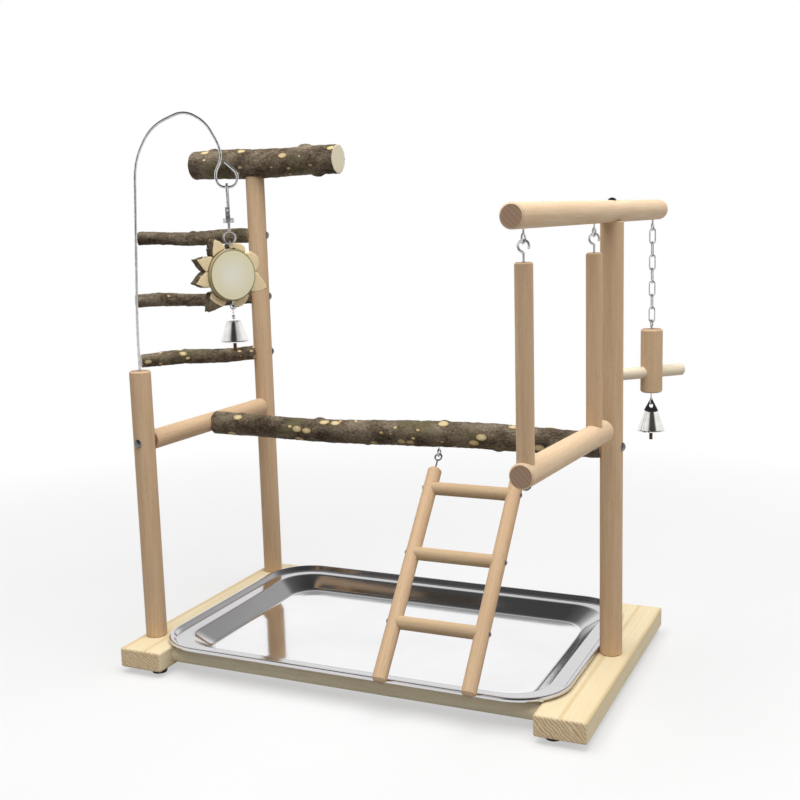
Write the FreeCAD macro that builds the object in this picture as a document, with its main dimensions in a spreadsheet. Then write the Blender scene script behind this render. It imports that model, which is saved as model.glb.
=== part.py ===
import FreeCAD, Part
import Sketcher
import math
import os
import re

from FreeCAD import Placement, Rotation, Vector

# Parrot play stand: a pine base with three round posts, bark-covered branch perches,
# a hanging swing, a ladder, a pressed steel tray and two hanging toys with bells.
# Lengths are in millimetres and angles in degrees. Places are measured from the floor
# at the outer front corner of the left base beam: +X to the right, +Y to the rear, +Z up.

SIZES = {
    # base
    "base_width": 496, "beam_width": 49.5, "beam_thick": 21, "beam_length": 310, "beam_round": 2.5,
    "foot_height": 6.5, "foot_radius": 9, "foot_taper": 1.5, "foot_recess": 3.2,
    "foot_side_inset": 14, "foot_end_inset": 18,
    "base_dowel_radius": 8.5, "front_dowel_y": 30, "rear_dowel_y": 283, "dowel_socket": 14,
    # posts
    "post_radius": 11, "post_edge": 1.2,
    "front_post_x": 14, "front_post_y": 45, "front_post_height": 284,
    "rear_post_x": 18, "rear_post_y": 281, "rear_post_height": 484,
    "right_post_x": 476, "right_post_y": 162, "right_post_height": 424,
    # screws
    "screw_radius": 2, "screw_head_radius": 4.4, "screw_head_height": 2.6,
    "base_screw_length": 42, "side_screw_length": 44, "top_screw_length": 40,
    "crown_screw_length": 56,
    "glue_fit": 0.05, "moving_gap": 0.3,
    # rail and branch perches
    "rail_radius": 10.2, "rail_z": 237, "long_perch_radius": 12.6, "long_perch_y": 163,
    "upper_step_z": 442, "upper_step_reach": 142, "upper_step_angle": 65,
    "middle_step_z": 369.5, "middle_step_reach": 147, "middle_step_angle": 56,
    "lower_step_z": 302.5, "lower_step_reach": 147, "lower_step_angle": 42,
    "step_radius": 8.6, "top_perch_radius": 16.8, "top_perch_left": 83, "top_perch_right": 112,
    "top_perch_seat": 1.6,
    # top dowel and swing
    "top_dowel_radius": 10.3, "top_dowel_front": 241, "top_dowel_rear": 155, "top_dowel_turn": 4,
    "saddle_depth": 1.5, "turned_edge": 1.4,
    "swing_perch_radius": 10.8, "swing_perch_length": 202, "swing_perch_z": 256.5, "swing_front": 227,
    "swing_arm_radius": 7.4, "swing_front_arm": 9.9, "swing_rear_arm": 176,
    # eyes and hooks
    "eye_ring": 3.6, "eye_wire": 0.95, "eye_drop": 11, "eye_thread": 9, "wire_gap": 0.2,
    "hook_ring": 4.6, "hook_wire": 1.1, "hook_sweep": 285, "chain_eye_rear": 21,
    # ladder
    "ladder_left_x": 297, "ladder_right_x": 386, "ladder_pivot_y": 160, "ladder_eye_drop": 8.2,
    "ladder_rail_radius": 7.2, "ladder_rail_start": 17, "ladder_rail_end": 243,
    "rung_radius": 6.6, "rung_start": 39.4, "rung_pitch": 72,
    "small_screw_radius": 1.2, "small_screw_head": 2.4, "rung_screw_length": 26,
    # tray
    "tray_width": 435, "tray_depth": 292.5, "tray_x": 29.5, "tray_y": 10.5, "tray_sheet": 1,
    "tray_lip": 4, "tray_lip_height": 4.6, "tray_lip_run": 4, "tray_hem": 3.2,
    "tray_flat": 13, "tray_side_run": 16.5, "tray_side_drop": 12.4, "tray_bend_run": 3.5,
    "tray_bend_drop": 1.2, "tray_corner": 52, "tray_side_corner": 30, "tray_floor_corner": 27,
    # crook of wire on the front post
    "crook_wire": 1.35, "crook_turn": 26, "crook_top": 258,
    "crook_reach": 94, "crook_eye_ring": 11.3, "crook_eye_height": 194.4, "crook_eye_reach": 98.8,
    "crook_thread": 20,
    # snap hook and swivel
    "snap_bow": 4.6, "snap_wire": 1.3, "snap_leg": 29, "snap_nose": 4, "snap_gate": 20, "gate_wire": 0.85,
    "collar_height": 5, "swivel_pin": 1.5, "swivel_fit": 0.06, "swivel_head": 2.3,
    "swivel_ring": 6, "swivel_wire": 0.85, "swivel_reach": 42.5,
    # wooden flower
    "flower_turn": 62, "flower_radius": 26, "flower_thick": 8, "petal_thick": 9, "petal_start": 19,
    "petal_shoulder": 27.5, "petal_reach": 46, "petal_root": 5.2, "petal_half": 8.5,
    "flower_eye_ring": 2.6, "flower_eye_wire": 0.7,
    # bells
    "bell_mouth": 14.6, "bell_crown": 7.6, "bell_height": 21.5, "bell_wall": 0.8, "bell_lip": 0.7,
    "bell_loop_ring": 2.6, "bell_loop_wire": 0.8, "staple_ring": 1.9, "staple_wire": 0.5,
    "clapper_radius": 1.8, "clapper_weight": 9, "clapper_reach": 31,
    # chain toy
    "link_ring": 2.9, "link_wire": 0.8, "link_straight": 9.6,
    "block_radius": 11.4, "block_height": 67, "block_edge": 1.5, "block_shank": 2,
    "cross_radius": 6.2, "cross_length": 78, "cross_height": 21.4, "cross_turn": 46,
    "hanger_thick": 1.6, "hanger_hole": 2.3, "hanger_rise": 5.3, "hanger_height": 12, "hanger_shank": 6.2,
}

# The model's origin is on the floor, under the middle of its whole outline: the outline
# ends at the highest step perch, the front of the top dowel and the toy's cross perch.
value = dict(SIZES)
turn = math.radians(value["top_dowel_turn"])
lean = math.radians(value["upper_step_angle"])
cross = math.radians(value["cross_turn"])
toy_line = value["top_dowel_rear"] - value["chain_eye_rear"]
toy_x = value["right_post_x"] + toy_line * math.sin(turn)
toy_y = value["right_post_y"] + toy_line * math.cos(turn)
half_cross = value["cross_length"] / 2 - value["block_edge"]
left = (value["rear_post_x"] - value["upper_step_reach"] * math.sin(lean)
        - 0.9 * value["step_radius"] * math.cos(lean))
right = toy_x + half_cross * math.cos(cross) + value["cross_radius"] * math.sin(cross)
front = (value["right_post_y"] - value["top_dowel_front"] * math.cos(turn)
         - (value["top_dowel_radius"] - value["turned_edge"]) * math.sin(turn))
rear = toy_y + half_cross * math.sin(cross) + value["cross_radius"] * math.cos(cross)
SIZES["origin_x"] = round((left + right) / 2, 3)
SIZES["origin_y"] = round((front + rear) / 2, 3)

doc = FreeCAD.newDocument("play_stand")
sheet = doc.addObject("Spreadsheet::Sheet", "sizes")
for row, (name, number) in enumerate(SIZES.items(), 1):
    sheet.set("A%d" % row, name)
    sheet.set("B%d" % row, str(number))
    sheet.setAlias("B%d" % row, name)
doc.recompute()

LINKS = 7
UPPER_LINKS = 4
WORD = re.compile(r"[a-z_]+[a-z]")
nodes = {}


def size(name):
    """A size read from the sheet, for shapes that no formula can drive."""
    return float(sheet.get(name))


def bind(item, prop, formula):
    """Tie one property of a feature to the sheet by a formula of size names."""
    text = WORD.sub(lambda m: "sizes." + m.group() if m.group() in SIZES else m.group(), str(formula))
    item.setExpression(prop, text)


def place(item, x="0", y="0", z="0", spin=None):
    """Put a feature at a place measured from the base's corner, turned by spin."""
    item.Placement = Placement(Vector(), spin or Rotation())
    bind(item, "Placement.Base.x", "(%s) - origin_x" % x)
    bind(item, "Placement.Base.y", "(%s) - origin_y" % y)
    bind(item, "Placement.Base.z", z)
    return item


def shift(item, x="0", y="0", z="0", spin=None):
    """Put a feature at a place in the frame of the piece it belongs to."""
    item.Placement = Placement(Vector(), spin or Rotation())
    for axis, formula in zip("xyz", (x, y, z)):
        if formula != "0":
            bind(item, "Placement.Base." + axis, formula)
    return item


def keep(name, item):
    """Name a finished piece, which becomes a file of its own."""
    item.Label = name
    nodes[name] = item
    return item


def about(axis, angle):
    return Rotation(Vector(*axis), angle)


X, Y, Z = (1, 0, 0), (0, 1, 0), (0, 0, 1)


def rod(radius, length, name="rod"):
    item = doc.addObject("Part::Cylinder", name)
    bind(item, "Radius", radius)
    bind(item, "Height", length)
    return item


def ring(radius, wire, sweep="360", name="ring"):
    item = doc.addObject("Part::Torus", name)
    bind(item, "Radius1", radius)
    bind(item, "Radius2", wire)
    bind(item, "Angle3", sweep)
    return item


def ball(radius, name="ball"):
    item = doc.addObject("Part::Sphere", name)
    bind(item, "Radius", radius)
    return item


def joined(pieces, name="joined"):
    item = doc.addObject("Part::MultiFuse", name)
    item.Shapes = pieces
    item.Refine = True
    return item


def cut(base, tool, name="cut"):
    item = doc.addObject("Part::Cut", name)
    item.Base = base
    item.Tool = tool
    return item


def group(name, pieces):
    """Like pieces, kept as separate solids of one node."""
    item = doc.addObject("Part::Compound", name)
    item.Links = pieces
    return keep(name, item)


def body(name):
    return doc.addObject("PartDesign::Body", name)


def plane(part, role):
    return next(f for f in part.Origin.OriginFeatures if f.Role == role)


def sketch(part, role="XY_Plane", offset=None, name="sketch"):
    """A sketch on one of its own body's origin planes, at a bound height above it."""
    item = part.newObject("Sketcher::SketchObject", name)
    item.AttachmentSupport = [(plane(part, role), "")]
    item.MapMode = "FlatFace"
    if offset:
        bind(item, "AttachmentOffset.Base.z", offset)
    return item


def circle(item, radius, x=None, y=None):
    """A circle in a sketch, with its radius and centre bound to the sheet."""
    edge = item.addGeometry(Part.Circle(Vector(), Vector(0, 0, 1), 5), False)
    bound = item.addConstraint(Sketcher.Constraint("Radius", edge, 5))
    bind(item, "Constraints[%d]" % bound, radius)
    for kind, formula in (("DistanceX", x), ("DistanceY", y)):
        if formula is None:
            item.addConstraint(Sketcher.Constraint(kind, -1, 1, edge, 3, 0))
        else:
            bound = item.addConstraint(Sketcher.Constraint(kind, -1, 1, edge, 3, 1))
            bind(item, "Constraints[%d]" % bound, formula)
    return edge


def outline(item, points):
    """A closed outline of straight edges; each corner is a pair of formulas."""
    spots = [Vector(evaluate(x), evaluate(y), 0) for x, y in points]
    edges = [item.addGeometry(Part.LineSegment(a, b), False)
             for a, b in zip(spots, spots[1:] + spots[:1])]
    for here, after in zip(edges, edges[1:] + edges[:1]):
        item.addConstraint(Sketcher.Constraint("Coincident", here, 2, after, 1))
    for edge, (x, y) in zip(edges, points):
        for kind, formula in (("DistanceX", x), ("DistanceY", y)):
            if str(formula) == "0":
                item.addConstraint(Sketcher.Constraint(kind, -1, 1, edge, 1, 0))
            else:
                bound = item.addConstraint(Sketcher.Constraint(kind, -1, 1, edge, 1, evaluate(formula)))
                bind(item, "Constraints[%d]" % bound, formula)


def evaluate(formula):
    """The number that a formula of size names gives now."""
    result = sheet.evalExpression(str(formula))
    return float(getattr(result, "Value", result))


def extrude(part, profile, length, back=False, name="pad"):
    item = part.newObject("PartDesign::Pad", name)
    item.Profile = profile
    bind(item, "Length", length)
    item.Reversed = back
    return item


def drill(part, radius, depth, x="0", y="0", z="0", spin=None, name="bore"):
    """A round hole that starts at a place in the body and runs along its turned +Z."""
    item = part.newObject("PartDesign::SubtractiveCylinder", name)
    bind(item, "Radius", radius)
    bind(item, "Height", depth)
    return shift(item, x, y, z, spin)


def ease(part, feature, length, edges, name="edge"):
    """Chamfer chosen edges of the last feature."""
    doc.recompute()
    item = part.newObject("PartDesign::Chamfer", name)
    item.Base = (feature, edges)
    bind(item, "Size", length)
    part.Tip = item
    return item


def round_edges(feature, test):
    """The names of a feature's edges that pass a test."""
    doc.recompute()
    return ["Edge%d" % n for n, edge in enumerate(feature.Shape.Edges, 1) if test(edge)]


def is_circle(edge):
    return isinstance(edge.Curve, Part.Circle)


def dowel(name, radius, length, edge, both=True):
    """A turned stick along its own +Z, with both ends eased or only the far one."""
    part = body(name)
    profile = sketch(part)
    circle(profile, radius)
    stick = extrude(part, profile, length)
    ease(part, stick, edge, round_edges(stick, lambda e: is_circle(e) and (both or e.CenterOfMass.z > 1)))
    return part


def screw(length, radius="screw_radius", head="screw_head_radius", height="screw_head_height"):
    """A round-head wood screw: the head's flat underside is at 0 and its shank runs along +Z."""
    shank = rod(radius, "(%s) - %s * 2" % (length, radius), "shank")
    tip = doc.addObject("Part::Cone", "tip")
    bind(tip, "Radius1", radius)
    bind(tip, "Radius2", radius + " * 0.2")
    bind(tip, "Height", radius + " * 2")
    shift(tip, z="(%s) - %s * 2" % (length, radius))
    dome = ball("(%s ^ 2 + %s ^ 2) / (2 * %s)" % (head, height, height), "dome")
    shift(dome, z="(%s ^ 2 - %s ^ 2) / (2 * %s)" % (head, height, height))
    blank = rod(head, height, "blank")
    shift(blank, z="-%s" % height)
    head_shape = doc.addObject("Part::MultiCommon", "head")
    head_shape.Shapes = [dome, blank]
    return joined([head_shape, shank, tip], "screw")


def eye(ring_radius, wire, shank):
    """A screw eye seen from the wire that carries the load: that wire's middle is at 0,
    the ring stands in the YZ plane above it, and the shank goes on up along +Z."""
    loop = ring(ring_radius, wire)
    shift(loop, z=ring_radius, spin=about(Y, 90))
    post = rod(wire, shank, "shank")
    shift(post, z="2 * %s" % ring_radius)
    return joined([loop, post], "eye")


# ---------------------------------------------------------------------------------
# Base: two pine beams on rubber feet, tied by two round dowels.

post_x = {"front": "front_post_x", "rear": "rear_post_x", "right": "right_post_x"}
post_y = {"front": "front_post_y", "rear": "rear_post_y", "right": "right_post_y"}
beam_top = "(foot_height + beam_thick)"
dowel_z = "(foot_height + beam_thick / 2)"


def beam(name, left_edge, posts, socket_x, socket_turn):
    """A pine beam with eased edges, blind sockets for the dowels and drilled for the
    screws that come up into the posts."""
    part = body(name)
    profile = sketch(part)
    outline(profile, [("0", "0"), ("beam_width", "0"), ("beam_width", "beam_length"),
                      ("0", "beam_length")])
    plank = extrude(part, profile, "beam_thick")
    doc.recompute()
    softened = part.newObject("PartDesign::Fillet", "eased")
    softened.Base = (plank, ["Edge%d" % n for n in range(1, len(plank.Shape.Edges) + 1)])
    bind(softened, "Radius", "beam_round")
    for y in ("front_dowel_y", "rear_dowel_y"):
        drill(part, "base_dowel_radius + glue_fit", "dowel_socket + 1", socket_x, y, "beam_thick / 2",
              about(Y, socket_turn))
    for post in posts:
        x = "%s - (%s)" % (post_x[post], left_edge)
        drill(part, "screw_radius + glue_fit", "beam_thick", x, post_y[post])
        drill(part, "screw_head_radius + glue_fit", "screw_head_height + 0.6", x, post_y[post])
    for x in ("foot_side_inset", "beam_width - foot_side_inset"):
        inner = (x == "foot_side_inset") == (left_edge != "0")
        for y in ("foot_end_inset", "beam_length - foot_end_inset"):
            if inner:
                drill(part, "small_screw_radius + glue_fit", "7", x, y)
    place(part, left_edge, "0", "foot_height")
    return keep(name, part)


right_beam_x = "(base_width - beam_width)"
beam("left_base_beam", "0", ["front", "rear"], "beam_width - dowel_socket", 90)
beam("right_base_beam", right_beam_x, ["right"], "dowel_socket", -90)

span = "base_width - 2 * beam_width + 2 * dowel_socket"
for name, y in (("front_base_dowel", "front_dowel_y"), ("rear_base_dowel", "rear_dowel_y")):
    stick = dowel(name, "base_dowel_radius", span, "post_edge")
    place(stick, "beam_width - dowel_socket", y, dowel_z, about(Y, 90))
    keep(name, stick)

feet = []
foot_screws = []
for x in ("beam_width - foot_side_inset", right_beam_x + " + foot_side_inset"):
    for y in ("foot_end_inset", "beam_length - foot_end_inset"):
        pad = doc.addObject("Part::Cone", "pad")
        bind(pad, "Radius1", "foot_radius - foot_taper")
        bind(pad, "Radius2", "foot_radius")
        bind(pad, "Height", "foot_height")
        well = rod("foot_radius - 4", "foot_recess", "well")
        through = rod("small_screw_radius + glue_fit", "foot_height", "through")
        foot = cut(pad, joined([well, through]), "foot")
        feet.append(place(foot, x, y))
        pin = screw("foot_height - foot_recess + 6", "small_screw_radius", "small_screw_head", "1.4")
        foot_screws.append(place(pin, x, y, "foot_recess"))
group("rubber_feet", feet)
group("foot_screws", foot_screws)

# ---------------------------------------------------------------------------------
# Posts: three beech rods that stand on the beams, held by screws from below.

top = {"front": beam_top + " + front_post_height", "rear": beam_top + " + rear_post_height",
       "right": beam_top + " + right_post_height"}
rail_turn = "(atan2(rear_post_x - front_post_x; rear_post_y - front_post_y) / 1 deg)"
steps = {
    "upper": ("upper_step_z", "upper_step_reach", "upper_step_angle"),
    "middle": ("middle_step_z", "middle_step_reach", "middle_step_angle"),
    "lower": ("lower_step_z", "lower_step_reach", "lower_step_angle"),
}
pilot = "screw_radius + glue_fit"


def cross_bore(part, z, turned):
    """A screw hole square through a post, at a height on it, turned about its axis."""
    bore = drill(part, pilot, "4 * post_radius", z=z, name="cross_bore")
    bind(bore, "Placement.Base.x", "-2 * post_radius * sin(%s)" % turned)
    bind(bore, "Placement.Base.y", "-2 * post_radius * cos(%s)" % turned)
    lay_along(bore, turned)
    return bore


def lay_along(item, turned):
    """Lay a piece's own +Z level, pointing from +Y towards +X by an angle."""
    angle = evaluate(turned)
    item.Placement = Placement(item.Placement.Base, about(Z, -angle) * about(X, -90))


for post in ("front", "rear", "right"):
    label = {"front": "front_left_post", "rear": "rear_left_post", "right": "right_post"}[post]
    stick = dowel(label, "post_radius", post + "_post_height", "post_edge")
    drill(stick, pilot, "base_screw_length + screw_head_height - beam_thick + 1", name="foot_bore")
    if post == "front":
        cross_bore(stick, "rail_z - %s" % beam_top, rail_turn)
        drill(stick, "crook_wire + glue_fit", "crook_thread + 1", z="front_post_height - crook_thread - 0.5",
              name="crook_bore")
    if post == "rear":
        cross_bore(stick, "rail_z - %s" % beam_top, rail_turn)
        for z, reach, angle in steps.values():
            cross_bore(stick, "%s - %s" % (z, beam_top), angle)
        drill(stick, pilot, "crown_screw_length",
              z="rear_post_height - crown_screw_length + 2 * top_perch_radius - top_perch_seat - 5",
              name="top_bore")
    if post == "right":
        cross_bore(stick, "rail_z - %s" % beam_top, "90")
        saddle = drill(stick, "top_dowel_radius", "4 * post_radius", name="saddle")
        bind(saddle, "Placement.Base.x", "-2 * post_radius * sin(top_dowel_turn)")
        bind(saddle, "Placement.Base.y", "-2 * post_radius * cos(top_dowel_turn)")
        bind(saddle, "Placement.Base.z", "right_post_height + top_dowel_radius - saddle_depth")
        lay_along(saddle, "top_dowel_turn")
        drill(stick, pilot, "top_screw_length",
              z="right_post_height - top_screw_length + 2 * top_dowel_radius - saddle_depth - 1",
              name="top_bore")
    place(stick, post_x[post], post_y[post], beam_top)
    keep(label, stick)

base_screws = [place(screw("base_screw_length"), post_x[post], post_y[post],
                     "foot_height + screw_head_height") for post in post_x]
group("base_screws", base_screws)

# ---------------------------------------------------------------------------------
# Cross rail between the two left posts, screwed through both of them.

rail = dowel("left_rail", "rail_radius",
             "sqrt((rear_post_x - front_post_x) ^ 2 + (rear_post_y - front_post_y) ^ 2) - 2 * post_radius",
             "post_edge")
drill(rail, pilot, "side_screw_length", z="0", name="front_bore")
drill(rail, pilot, "side_screw_length",
      z="sqrt((rear_post_x - front_post_x) ^ 2 + (rear_post_y - front_post_y) ^ 2)"
        " - 2 * post_radius - side_screw_length", name="rear_bore")
rail_spot = "(long_perch_y - front_post_y) / cos(%s) - post_radius" % rail_turn
drill(rail, pilot, "4 * rail_radius", "-2 * rail_radius * cos(%s)" % rail_turn, "0",
      "%s - 2 * rail_radius * sin(%s)" % (rail_spot, rail_turn), about(Y, 90 - evaluate(rail_turn)),
      "side_bore")
place(rail, "front_post_x + post_radius * sin(%s)" % rail_turn,
      "front_post_y + post_radius * cos(%s)" % rail_turn, "rail_z")
lay_along(rail, rail_turn)
keep("left_rail", rail)

front_pin = screw("side_screw_length")
place(front_pin, "front_post_x - (post_radius + 0.2) * sin(%s)" % rail_turn,
      "front_post_y - (post_radius + 0.2) * cos(%s)" % rail_turn, "rail_z")
lay_along(front_pin, rail_turn)
rear_pin = screw("side_screw_length")
place(rear_pin, "rear_post_x + (post_radius + 0.2) * sin(%s)" % rail_turn,
      "rear_post_y + (post_radius + 0.2) * cos(%s)" % rail_turn, "rail_z")
lay_along(rear_pin, "180 + " + rail_turn)
group("rail_screws", [front_pin, rear_pin])


# ---------------------------------------------------------------------------------
# Branch perches: natural sticks with bark on, each a loft through round sections that
# wander and swell a little, with knots where twigs were cut off.

def branch(name, radius, length, wander, swell, knots, phase=0.0, stations=8, taper=0.0):
    """A branch along its own +X. knots: (share of length, angle round it, width, rise)."""
    part = body(name)
    sections = []
    for n in range(stations):
        share = n / (stations - 1)
        bend = math.sin(math.pi * share)
        drift = wander * bend * math.sin(2.3 * math.pi * share + phase)
        arch = wander * bend * math.cos(1.7 * math.pi * share + phase)
        grow = 1 + swell * math.sin(5.1 * share + 2 * phase) * bend - taper * share
        section = sketch(part, "YZ_Plane", "(%s) * %.5f" % (length, share), "section")
        circle(section, "%s * %.4f" % (radius, grow), "%s * %.4f" % (radius, drift),
               "%s * %.4f" % (radius, arch))
        sections.append(section)
    loft = part.newObject("PartDesign::AdditiveLoft", "stick")
    loft.Profile = sections[0]
    loft.Sections = sections[1:]
    for share, angle, width, rise in knots:
        bump = part.newObject("PartDesign::AdditiveEllipsoid", "knot")
        bind(bump, "Radius1", "%s * %.3f" % (radius, width))
        bind(bump, "Radius2", "%s * %.3f" % (radius, width * 1.35))
        bind(bump, "Radius3", "%s * %.3f" % (radius, width))
        bend = math.sin(math.pi * share)
        drift = wander * bend * math.sin(2.3 * math.pi * share + phase)
        arch = wander * bend * math.cos(1.7 * math.pi * share + phase)
        grow = 1 + swell * math.sin(5.1 * share + 2 * phase) * bend - taper * share
        out = grow + rise - width
        side = math.radians(angle)
        shift(bump, "(%s) * %.4f" % (length, share),
              "%s * %.4f" % (radius, drift + out * math.sin(side)),
              "%s * %.4f" % (radius, arch + out * math.cos(side)))
    return part


rail_at_perch = "(front_post_x + (long_perch_y - front_post_y) * tan(%s))" % rail_turn
rail_side = "(%s + rail_radius * 0.8)" % rail_at_perch
long_length = "(right_post_x - 0.8 * post_radius - %s)" % rail_side
perch = branch("long_bark_perch", "long_perch_radius", long_length, 0.2, 0.08,
               [(0.07, 40, 0.6, 0.1), (0.17, -30, 0.55, 0.12), (0.3, 15, 0.6, 0.14), (0.43, 170, 0.6, 0.1),
                (0.55, 60, 0.55, 0.12), (0.63, -10, 0.5, 0.15), (0.76, 200, 0.6, 0.12),
                (0.88, 20, 0.55, 0.12)], phase=2.2, stations=10)
drill(perch, pilot, "side_screw_length", name="left_bore", spin=about(Y, 90))
drill(perch, pilot, "side_screw_length", "%s - side_screw_length" % long_length,
      "right_post_y - long_perch_y", name="right_bore", spin=about(Y, 90))
cope = drill(perch, "rail_radius + glue_fit", "6 * long_perch_radius", name="cope")
bind(cope, "Placement.Base.x", "-0.8 * rail_radius - 3 * long_perch_radius * sin(%s)" % rail_turn)
bind(cope, "Placement.Base.y", "-3 * long_perch_radius * cos(%s)" % rail_turn)
lay_along(cope, rail_turn)
drill(perch, "post_radius + glue_fit", "4 * long_perch_radius", "%s + 0.8 * post_radius" % long_length,
      "right_post_y - long_perch_y", "-2 * long_perch_radius", name="post_cope")
for x in ("ladder_left_x", "ladder_right_x"):
    drill(perch, "eye_wire + glue_fit", "3 * long_perch_radius - 1", "%s - %s" % (x, rail_side),
          "ladder_pivot_y - long_perch_y", "-3 * long_perch_radius", name="eye_bore")
place(perch, rail_side, "long_perch_y", "rail_z")
keep("long_bark_perch", perch)

left_pin = screw("side_screw_length")
place(left_pin, "%s - rail_radius / cos(%s) - 0.3" % (rail_at_perch, rail_turn), "long_perch_y", "rail_z",
      about(Y, 90))
right_pin = screw("side_screw_length")
place(right_pin, "right_post_x + post_radius + 0.2", "right_post_y", "rail_z", about(Y, -90))
group("long_perch_screws", [left_pin, right_pin])


# Three step perches fan out from the rear post, each held by a screw through the post.
step_pins = []
for step, (z, reach, angle) in steps.items():
    turned = math.radians(evaluate(angle))
    knots = {"upper": [(0.2, 120, 0.55, 0.12), (0.5, 0, 0.6, 0.14), (0.78, 200, 0.55, 0.1)],
             "middle": [(0.25, 30, 0.6, 0.12), (0.55, 190, 0.5, 0.12), (0.8, -40, 0.55, 0.14)],
             "lower": [(0.3, 60, 0.55, 0.12), (0.62, -20, 0.6, 0.12), (0.85, 150, 0.5, 0.1)]}[step]
    length = "(%s - post_radius)" % reach
    stub = branch(step + "_step_perch", "step_radius", length, 0.22, 0.07, knots,
                  phase={"upper": 0.3, "middle": 1.3, "lower": 2.2}[step], stations=6, taper=0.1)
    drill(stub, pilot, "side_screw_length - 2 * post_radius + 2", name="root_bore", spin=about(Y, 90))
    away = evaluate("270 - (%s)" % angle)
    place(stub, "rear_post_x - post_radius * sin(%s)" % angle,
          "rear_post_y - post_radius * cos(%s)" % angle, z, about(Z, away))
    keep(step + "_step_perch", stub)
    pin = screw("side_screw_length")
    place(pin, "rear_post_x + (post_radius + 0.2) * sin(%s)" % angle,
          "rear_post_y + (post_radius + 0.2) * cos(%s)" % angle, z)
    lay_along(pin, "180 + " + angle)
    step_pins.append(pin)
group("step_perch_screws", step_pins)

# The thick perch lies across the rear post's top, seated in a flat and screwed from above.
top_perch_z = "(%s + top_perch_radius - top_perch_seat)" % top["rear"]
crown_perch = branch("top_bark_perch", "top_perch_radius", "(top_perch_left + top_perch_right)", 0.07,
                     0.05, [(0.14, 5, 0.4, 0.12), (0.33, -25, 0.4, 0.1), (0.62, 40, 0.35, 0.12),
                            (0.78, 8, 0.5, 0.2), (0.86, 175, 0.5, 0.16)], phase=0.2, stations=7)
drill(crown_perch, "post_radius + 0.2", "top_perch_radius", "top_perch_left", "0",
      "top_perch_seat - 2 * top_perch_radius", name="seat")
drill(crown_perch, pilot, "4 * top_perch_radius", "top_perch_left", "0", "-2 * top_perch_radius",
      name="bore")
drill(crown_perch, "screw_head_radius + 0.4", "top_perch_radius", "top_perch_left", "0",
      "top_perch_radius - 4", name="head_bore")
place(crown_perch, "rear_post_x - top_perch_left", "rear_post_y", top_perch_z)
keep("top_bark_perch", crown_perch)

# ---------------------------------------------------------------------------------
# Top dowel: lies in a saddle on the right post and carries the swing and the chain toy.

dowel_axis_z = "(%s + top_dowel_radius - saddle_depth)" % top["right"]
eye_z = "(%s - top_dowel_radius - eye_drop)" % dowel_axis_z


def along_dowel(distance):
    """The place under the top dowel's axis, a distance in front of the right post."""
    return ("right_post_x - (%s) * sin(top_dowel_turn)" % distance,
            "right_post_y - (%s) * cos(top_dowel_turn)" % distance)


dowel_spin = about(Z, -evaluate("top_dowel_turn"))
front_arm = "(swing_front - swing_front_arm)"
rear_arm = "(swing_front - swing_rear_arm)"
chain_spot = "(chain_eye_rear - top_dowel_rear)"
top_dowel = dowel("top_dowel", "top_dowel_radius", "top_dowel_front + top_dowel_rear", "turned_edge")
for spot in (front_arm, rear_arm, chain_spot):
    drill(top_dowel, "eye_wire + glue_fit", "eye_thread + 1.5", "0", "top_dowel_radius + 1",
          "top_dowel_front - %s" % spot, about(X, 90), "eye_bore")
drill(top_dowel, pilot, "2 * top_dowel_radius + 2", "0", "-top_dowel_radius - 1", "top_dowel_front",
      about(X, -90), "post_bore")
x, y = along_dowel("top_dowel_front")
place(top_dowel, x, y, dowel_axis_z)
lay_along(top_dowel, "top_dowel_turn")
keep("top_dowel", top_dowel)

dowel_eyes = []
for spot in (front_arm, rear_arm, chain_spot):
    x, y = along_dowel(spot)
    loop = eye("eye_ring", "eye_wire", "eye_drop - 2 * eye_ring + eye_thread")
    dowel_eyes.append(place(loop, x, y, eye_z, dowel_spin))
group("dowel_screw_eyes", dowel_eyes)

down = about(X, 180)
top_pins = [place(screw("crown_screw_length"), "rear_post_x", "rear_post_y",
                  "%s + top_perch_radius - 4" % top_perch_z, down),
            place(screw("top_screw_length"), "right_post_x", "right_post_y",
                  "%s + top_dowel_radius" % dowel_axis_z, down)]
group("top_screws", top_pins)

# ---------------------------------------------------------------------------------
# Swing: two arms with open hooks in their tops, joined below by a round perch.

hook_z = "(%s + eye_wire + hook_wire + wire_gap)" % eye_z
arm_top = "(%s - 2 * hook_ring - hook_wire - 6.5)" % hook_z
arm_foot = "(swing_perch_z + swing_perch_radius * 0.7)"
hooks = []
for name, spot in (("swing_front_arm", front_arm), ("swing_rear_arm", rear_arm)):
    x, y = along_dowel(spot)
    arm = dowel(name, "swing_arm_radius", "%s - %s" % (arm_top, arm_foot), "post_edge", both=False)
    drill(arm, "swing_perch_radius + glue_fit", "4 * swing_arm_radius", "0", "-2 * swing_arm_radius",
          "-0.7 * swing_perch_radius", about(X, -90), "saddle")
    drill(arm, "hook_wire + glue_fit", "eye_thread + 1.5",
          z="%s - %s - eye_thread - 0.5" % (arm_top, arm_foot), name="hook_bore")
    drill(arm, pilot, "side_screw_length - 1.7 * swing_perch_radius + 1", name="screw_bore")
    place(arm, x, y, arm_foot, dowel_spin)
    keep(name, arm)
    bow = ring("hook_ring", "hook_wire", "hook_sweep")
    shift(bow, z="-hook_ring", spin=about(X, 90) * about(Z, evaluate("270 - hook_sweep")))
    shank = rod("hook_wire", "6.5 + hook_wire + eye_thread", "shank")
    shift(shank, z="-2 * hook_ring - hook_wire - 6.5 - eye_thread")
    tip = ball("hook_wire", "tip")
    shift(tip, "hook_ring * cos(270 - hook_sweep)", "0", "hook_ring * (sin(270 - hook_sweep) - 1)")
    hooks.append(place(joined([bow, shank, tip], "hook"), x, y, hook_z, dowel_spin))
group("swing_hooks", hooks)

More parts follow.
